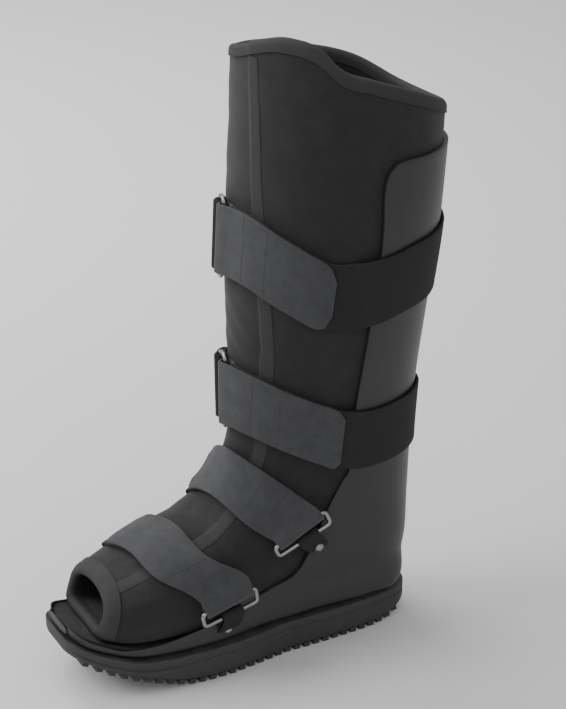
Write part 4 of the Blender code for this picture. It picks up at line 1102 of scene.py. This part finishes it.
def puffed(made, held, caps):
    # cloth pressure swells the free cloth; each point then moves by no more than its cap
    rest = np.array([v.co for v in made.data.vertices])
    pins = made.vertex_groups.new(name="held")
    for index, weight in enumerate(held):
        pins.add([index], float(weight), "REPLACE")
    cloth = made.modifiers.new("cloth", "CLOTH")
    cloth.settings.quality = 5
    cloth.settings.mass = 0.3
    cloth.settings.tension_stiffness = 12
    cloth.settings.compression_stiffness = 12
    cloth.settings.bending_stiffness = 0.4
    cloth.settings.vertex_group_mass = "held"
    cloth.settings.use_pressure = True
    cloth.settings.uniform_pressure_force = linerLook["pressure"]
    cloth.settings.effector_weights.gravity = 0.0
    cloth.collision_settings.use_collision = False
    cloth.point_cache.frame_end = linerLook["frames"]
    for step in range(1, linerLook["frames"] + 1):
        bpy.context.scene.frame_set(step)
    graph = bpy.context.evaluated_depsgraph_get()
    swollen = made.evaluated_get(graph).to_mesh()
    moved = np.array([v.co for v in swollen.vertices]) - rest
    made.evaluated_get(graph).to_mesh_clear()
    made.modifiers.clear()
    made.vertex_groups.clear()
    bpy.context.scene.frame_set(1)
    far = np.linalg.norm(moved, axis=1, keepdims=True)
    return moved * np.minimum(1.0, caps[:, None] / np.maximum(far, 1e-9)) * (1.0 - held[:, None])


def makeLiner():
    columns = linerColumns()
    share = np.linspace(0.0, 1.0, linerLook["rows"])[:, None]
    top = rimRow(columns)[None, :]
    radians = np.radians(columns)[None, :]
    room = boot["linerWall"] / 2
    high = top - room / rowPace(top, radians)
    low = mouthRow + room / rowPace(np.full_like(top, mouthRow), radians)
    rows = low + share * (high - low)
    wide = np.broadcast_to(columns[None, :], rows.shape)
    outer, inner = linerWall(rows, wide), linerWall(rows, wide, inner=True)
    up, down = unit(outer[-1] - outer[-2]), unit(outer[0] - outer[1])
    over = rimArc(outer[-1], inner[-1], up, linerLook["rimArc"])
    under = rimArc(inner[0], outer[0], down, linerLook["rimArc"])
    points = np.concatenate([outer, np.array(over), inner[::-1], np.array(under)])
    faces = gridFaces(len(points), len(columns), wrapRows=True)
    made = meshObject("liner_pad", points, faces, finishes["liner"])
    held = heldShare(rows, wide, outer, top)
    arc = np.ones((linerLook["rimArc"], len(columns)))
    pins = np.concatenate([held, arc, np.maximum(held, 0.3)[::-1], arc]).ravel()
    outerCaps, innerCaps = (np.full_like(held, linerLook[side]) for side in ("outerCap", "innerCap"))
    caps = np.concatenate([outerCaps, arc * 0, innerCaps, arc * 0]).ravel()
    x, y, z = np.reshape(points, (-1, 3)).T
    normals = np.array([v.normal for v in made.data.vertices])
    moved = puffed(made, pins, caps)
    waves = (np.sin(z * 330 + 4 * np.sin(x * 60)) + np.sin(y * 260 + z * 120 + 2.0)) / 2
    moved = moved + normals * (linerLook["wrinkle"] * waves * (1.0 - pins) * (caps > 0))[:, None]
    for vertex, step in zip(made.data.vertices, moved):
        vertex.co += Vector(step)
    made.modifiers.new("smooth", "SUBSURF").levels = 1
    made.modifiers["smooth"].render_levels = 1
    bake(made)
    made.data.shade_smooth()
    place(made, "liner_cloth", "liner")


def shellSqueeze(points):  # 1 in the open, less where the shell leaves no room for a thick edge
    return 1.0 - 0.75 * smooth((shellDepth(points[..., 1], points[..., 2]) + 0.007) / 0.006)


def edgeBinding(name, atTop):  # tape folded over an edge of the liner, stitched near its outer border
    columns = linerColumns()
    wall, reach, thickness = boot["linerWall"], linerLook["bindingReach"], linerLook["bindingThickness"]
    edgeRow = rimRow(columns) if atTop else np.full(len(columns), mouthRow)
    pace = rowPace(edgeRow, np.radians(columns))
    sign = -1.0 if atTop else 1.0
    squeeze = shellSqueeze(linerWall(edgeRow + sign * 0.004 / pace, columns))
    sides = []
    for extra in (squeeze * thickness, squeeze * 0.05 * thickness):
        downs = np.array([1.0, 0.75, 0.5, 0.25, 0.0]) * (reach - wall / 2) + wall / 2
        outer = [linerWall(edgeRow + sign * d / pace, columns, extra=extra) for d in downs]
        inner = [linerWall(edgeRow + sign * d / pace, columns, inner=True) for d in downs]
        inward = unit(outer[-1] - inner[-1])
        inner = [line - inward * extra[:, None] for line in inner]
        ahead = unit(outer[-1] - outer[-2])
        sides.append([*outer, *rimArc(outer[-1], inner[-1], ahead, 7), *inner[::-1]])
    section = np.array(sides[0] + sides[1][::-1])
    loops = np.transpose(section, (1, 0, 2))
    run = np.append(0.0, np.cumsum(np.linalg.norm(np.diff(section[2], axis=0), axis=1)))
    count = len(sides[0])
    uvAcross = np.concatenate([np.arange(count), np.arange(count)[::-1]]) * 0.0016
    uv = np.stack(np.meshgrid(run, uvAcross, indexing="ij"), -1)
    faces = gridFaces(len(loops), loops.shape[1], wrapRows=True)
    made = meshObject(name, loops, faces, finishes["binding"], uv, sharp=70.0)
    place(made, "liner_cloth")
    seam = section[0] * 0.65 + section[1] * 0.35
    seam = seam + unit(section[0] - sides[1][0]) * 0.00015
    seams["liner"].append(np.concatenate([seam, seam[:1]]))


def flapTape():  # tape sewn along the free edge of the overlapping front flap
    width, thickness = linerLook["tapeWidth"], linerLook["tapeThickness"]
    top = float(rimRow(np.array([174.0]))[0]) - 0.08
    rows = np.linspace(2.1, top, linerLook["tapeRows"])
    shares = bandShares(width, thickness)
    radius = np.linalg.norm(formPoint(rows, np.radians(flapAngle(rows) - 4.0))
                            - formPoint(rows, np.radians(flapAngle(rows) - 5.0)), axis=-1)
    lines = []
    for row, edgeAngle, perDegree in zip(rows, flapAngle(rows), radius):
        degrees = edgeAngle - 0.6 - (0.5 - shares) * width / perDegree
        raised = flapHeight(row, degrees, 0.0, 1.2)
        lines.append(skin(row, np.radians(degrees), raised + 0.05 * thickness))
    made = ribbon("flap_tape", lines, thickness, width, finishes["binding"], shares)
    sign = 1.0 if made[2][len(rows) // 2].dot(np.array([0.0, -1.0, 0.0])) > 0 else -1.0
    place(made[0], "liner_cloth")
    seams["liner"].append(seamLine(made[1], made[2] * sign, shares, 2, len(rows) - 2, -0.28, thickness))


makeLiner()
edgeBinding("rim_binding", True)
edgeBinding("mouth_binding", False)
flapTape()
sewSeams("strap_stitches", seams["strap"], strapLook["stitchPitch"], strapLook["threadRadius"], "strap_cloth")
sewSeams("liner_stitches", seams["liner"], 0.0028, 0.0003, "liner_cloth")
print("liner made")

studio = {
    "target": (0.0, 0.0205, 0.21), "distance": 1.5, "azimuth": 63.0, "elevation": 23.5, "lens": 102.06,
    "shift": (0.0226, 0.0367), "floorHalf": 30.0, "floorColour": (0.78, 0.78, 0.78), "worldStrength": 0.60,
}
lamps = [  # name, place, what it faces, size, watts
    ("key_lamp", (-0.7, -1.8, 1.9), (0.0, 0.0, 0.2), 1.4, 38.0),
    ("fill_lamp", (2.0, -0.4, 1.4), (0.0, 0.0, 0.2), 1.6, 7.0),
    ("backdrop_lamp", (-1.5, -0.3, 1.7), (-1.9, 0.3, 0.0), 1.3, 34.0),
]


def aim(made, target):
    made.rotation_euler = (Vector(target) - made.location).to_track_quat("-Z", "Y").to_euler()


def makeStudio():
    scene = bpy.context.scene
    half = studio["floorHalf"]
    mesh = bpy.data.meshes.new("studio_floor")
    corners = [(-half, -half, 0), (half, -half, 0), (half, half, 0), (-half, half, 0)]
    mesh.from_pydata(corners, [], [(0, 1, 2, 3)])
    floor = bpy.data.objects.new("studio_floor", mesh)
    paint = bpy.data.materials.new("floor_paint")
    paint.use_nodes = True
    shader = paint.node_tree.nodes["Principled BSDF"]
    shader.inputs["Base Color"].default_value = (*studio["floorColour"], 1.0)
    shader.inputs["Roughness"].default_value = 0.9
    mesh.materials.append(paint)
    scene.collection.objects.link(floor)
    world = bpy.data.worlds.new("studio_light")
    world.use_nodes = True
    world.node_tree.nodes["Background"].inputs["Color"].default_value = (1.0, 1.0, 1.0, 1.0)
    world.node_tree.nodes["Background"].inputs["Strength"].default_value = studio["worldStrength"]
    scene.world = world
    for name, spot, faces, size, watts in lamps:
        light = bpy.data.lights.new(name, "AREA")
        light.energy = watts
        light.size = size
        lamp = bpy.data.objects.new(name, light)
        lamp.location = spot
        scene.collection.objects.link(lamp)
        aim(lamp, faces)
    a, e = math.radians(studio["azimuth"]), math.radians(studio["elevation"])
    lens = bpy.data.cameras.new("camera")
    lens.lens = studio["lens"]
    lens.sensor_width = 36.0
    lens.shift_x, lens.shift_y = studio["shift"]
    lens.clip_end = 50.0
    camera = bpy.data.objects.new("camera", lens)
    away = Vector((math.sin(a) * math.cos(e), -math.cos(a) * math.cos(e), math.sin(e)))
    camera.location = Vector(studio["target"]) + away * studio["distance"]
    scene.collection.objects.link(camera)
    aim(camera, studio["target"])
    scene.camera = camera


makeStudio()
print("studio ready")
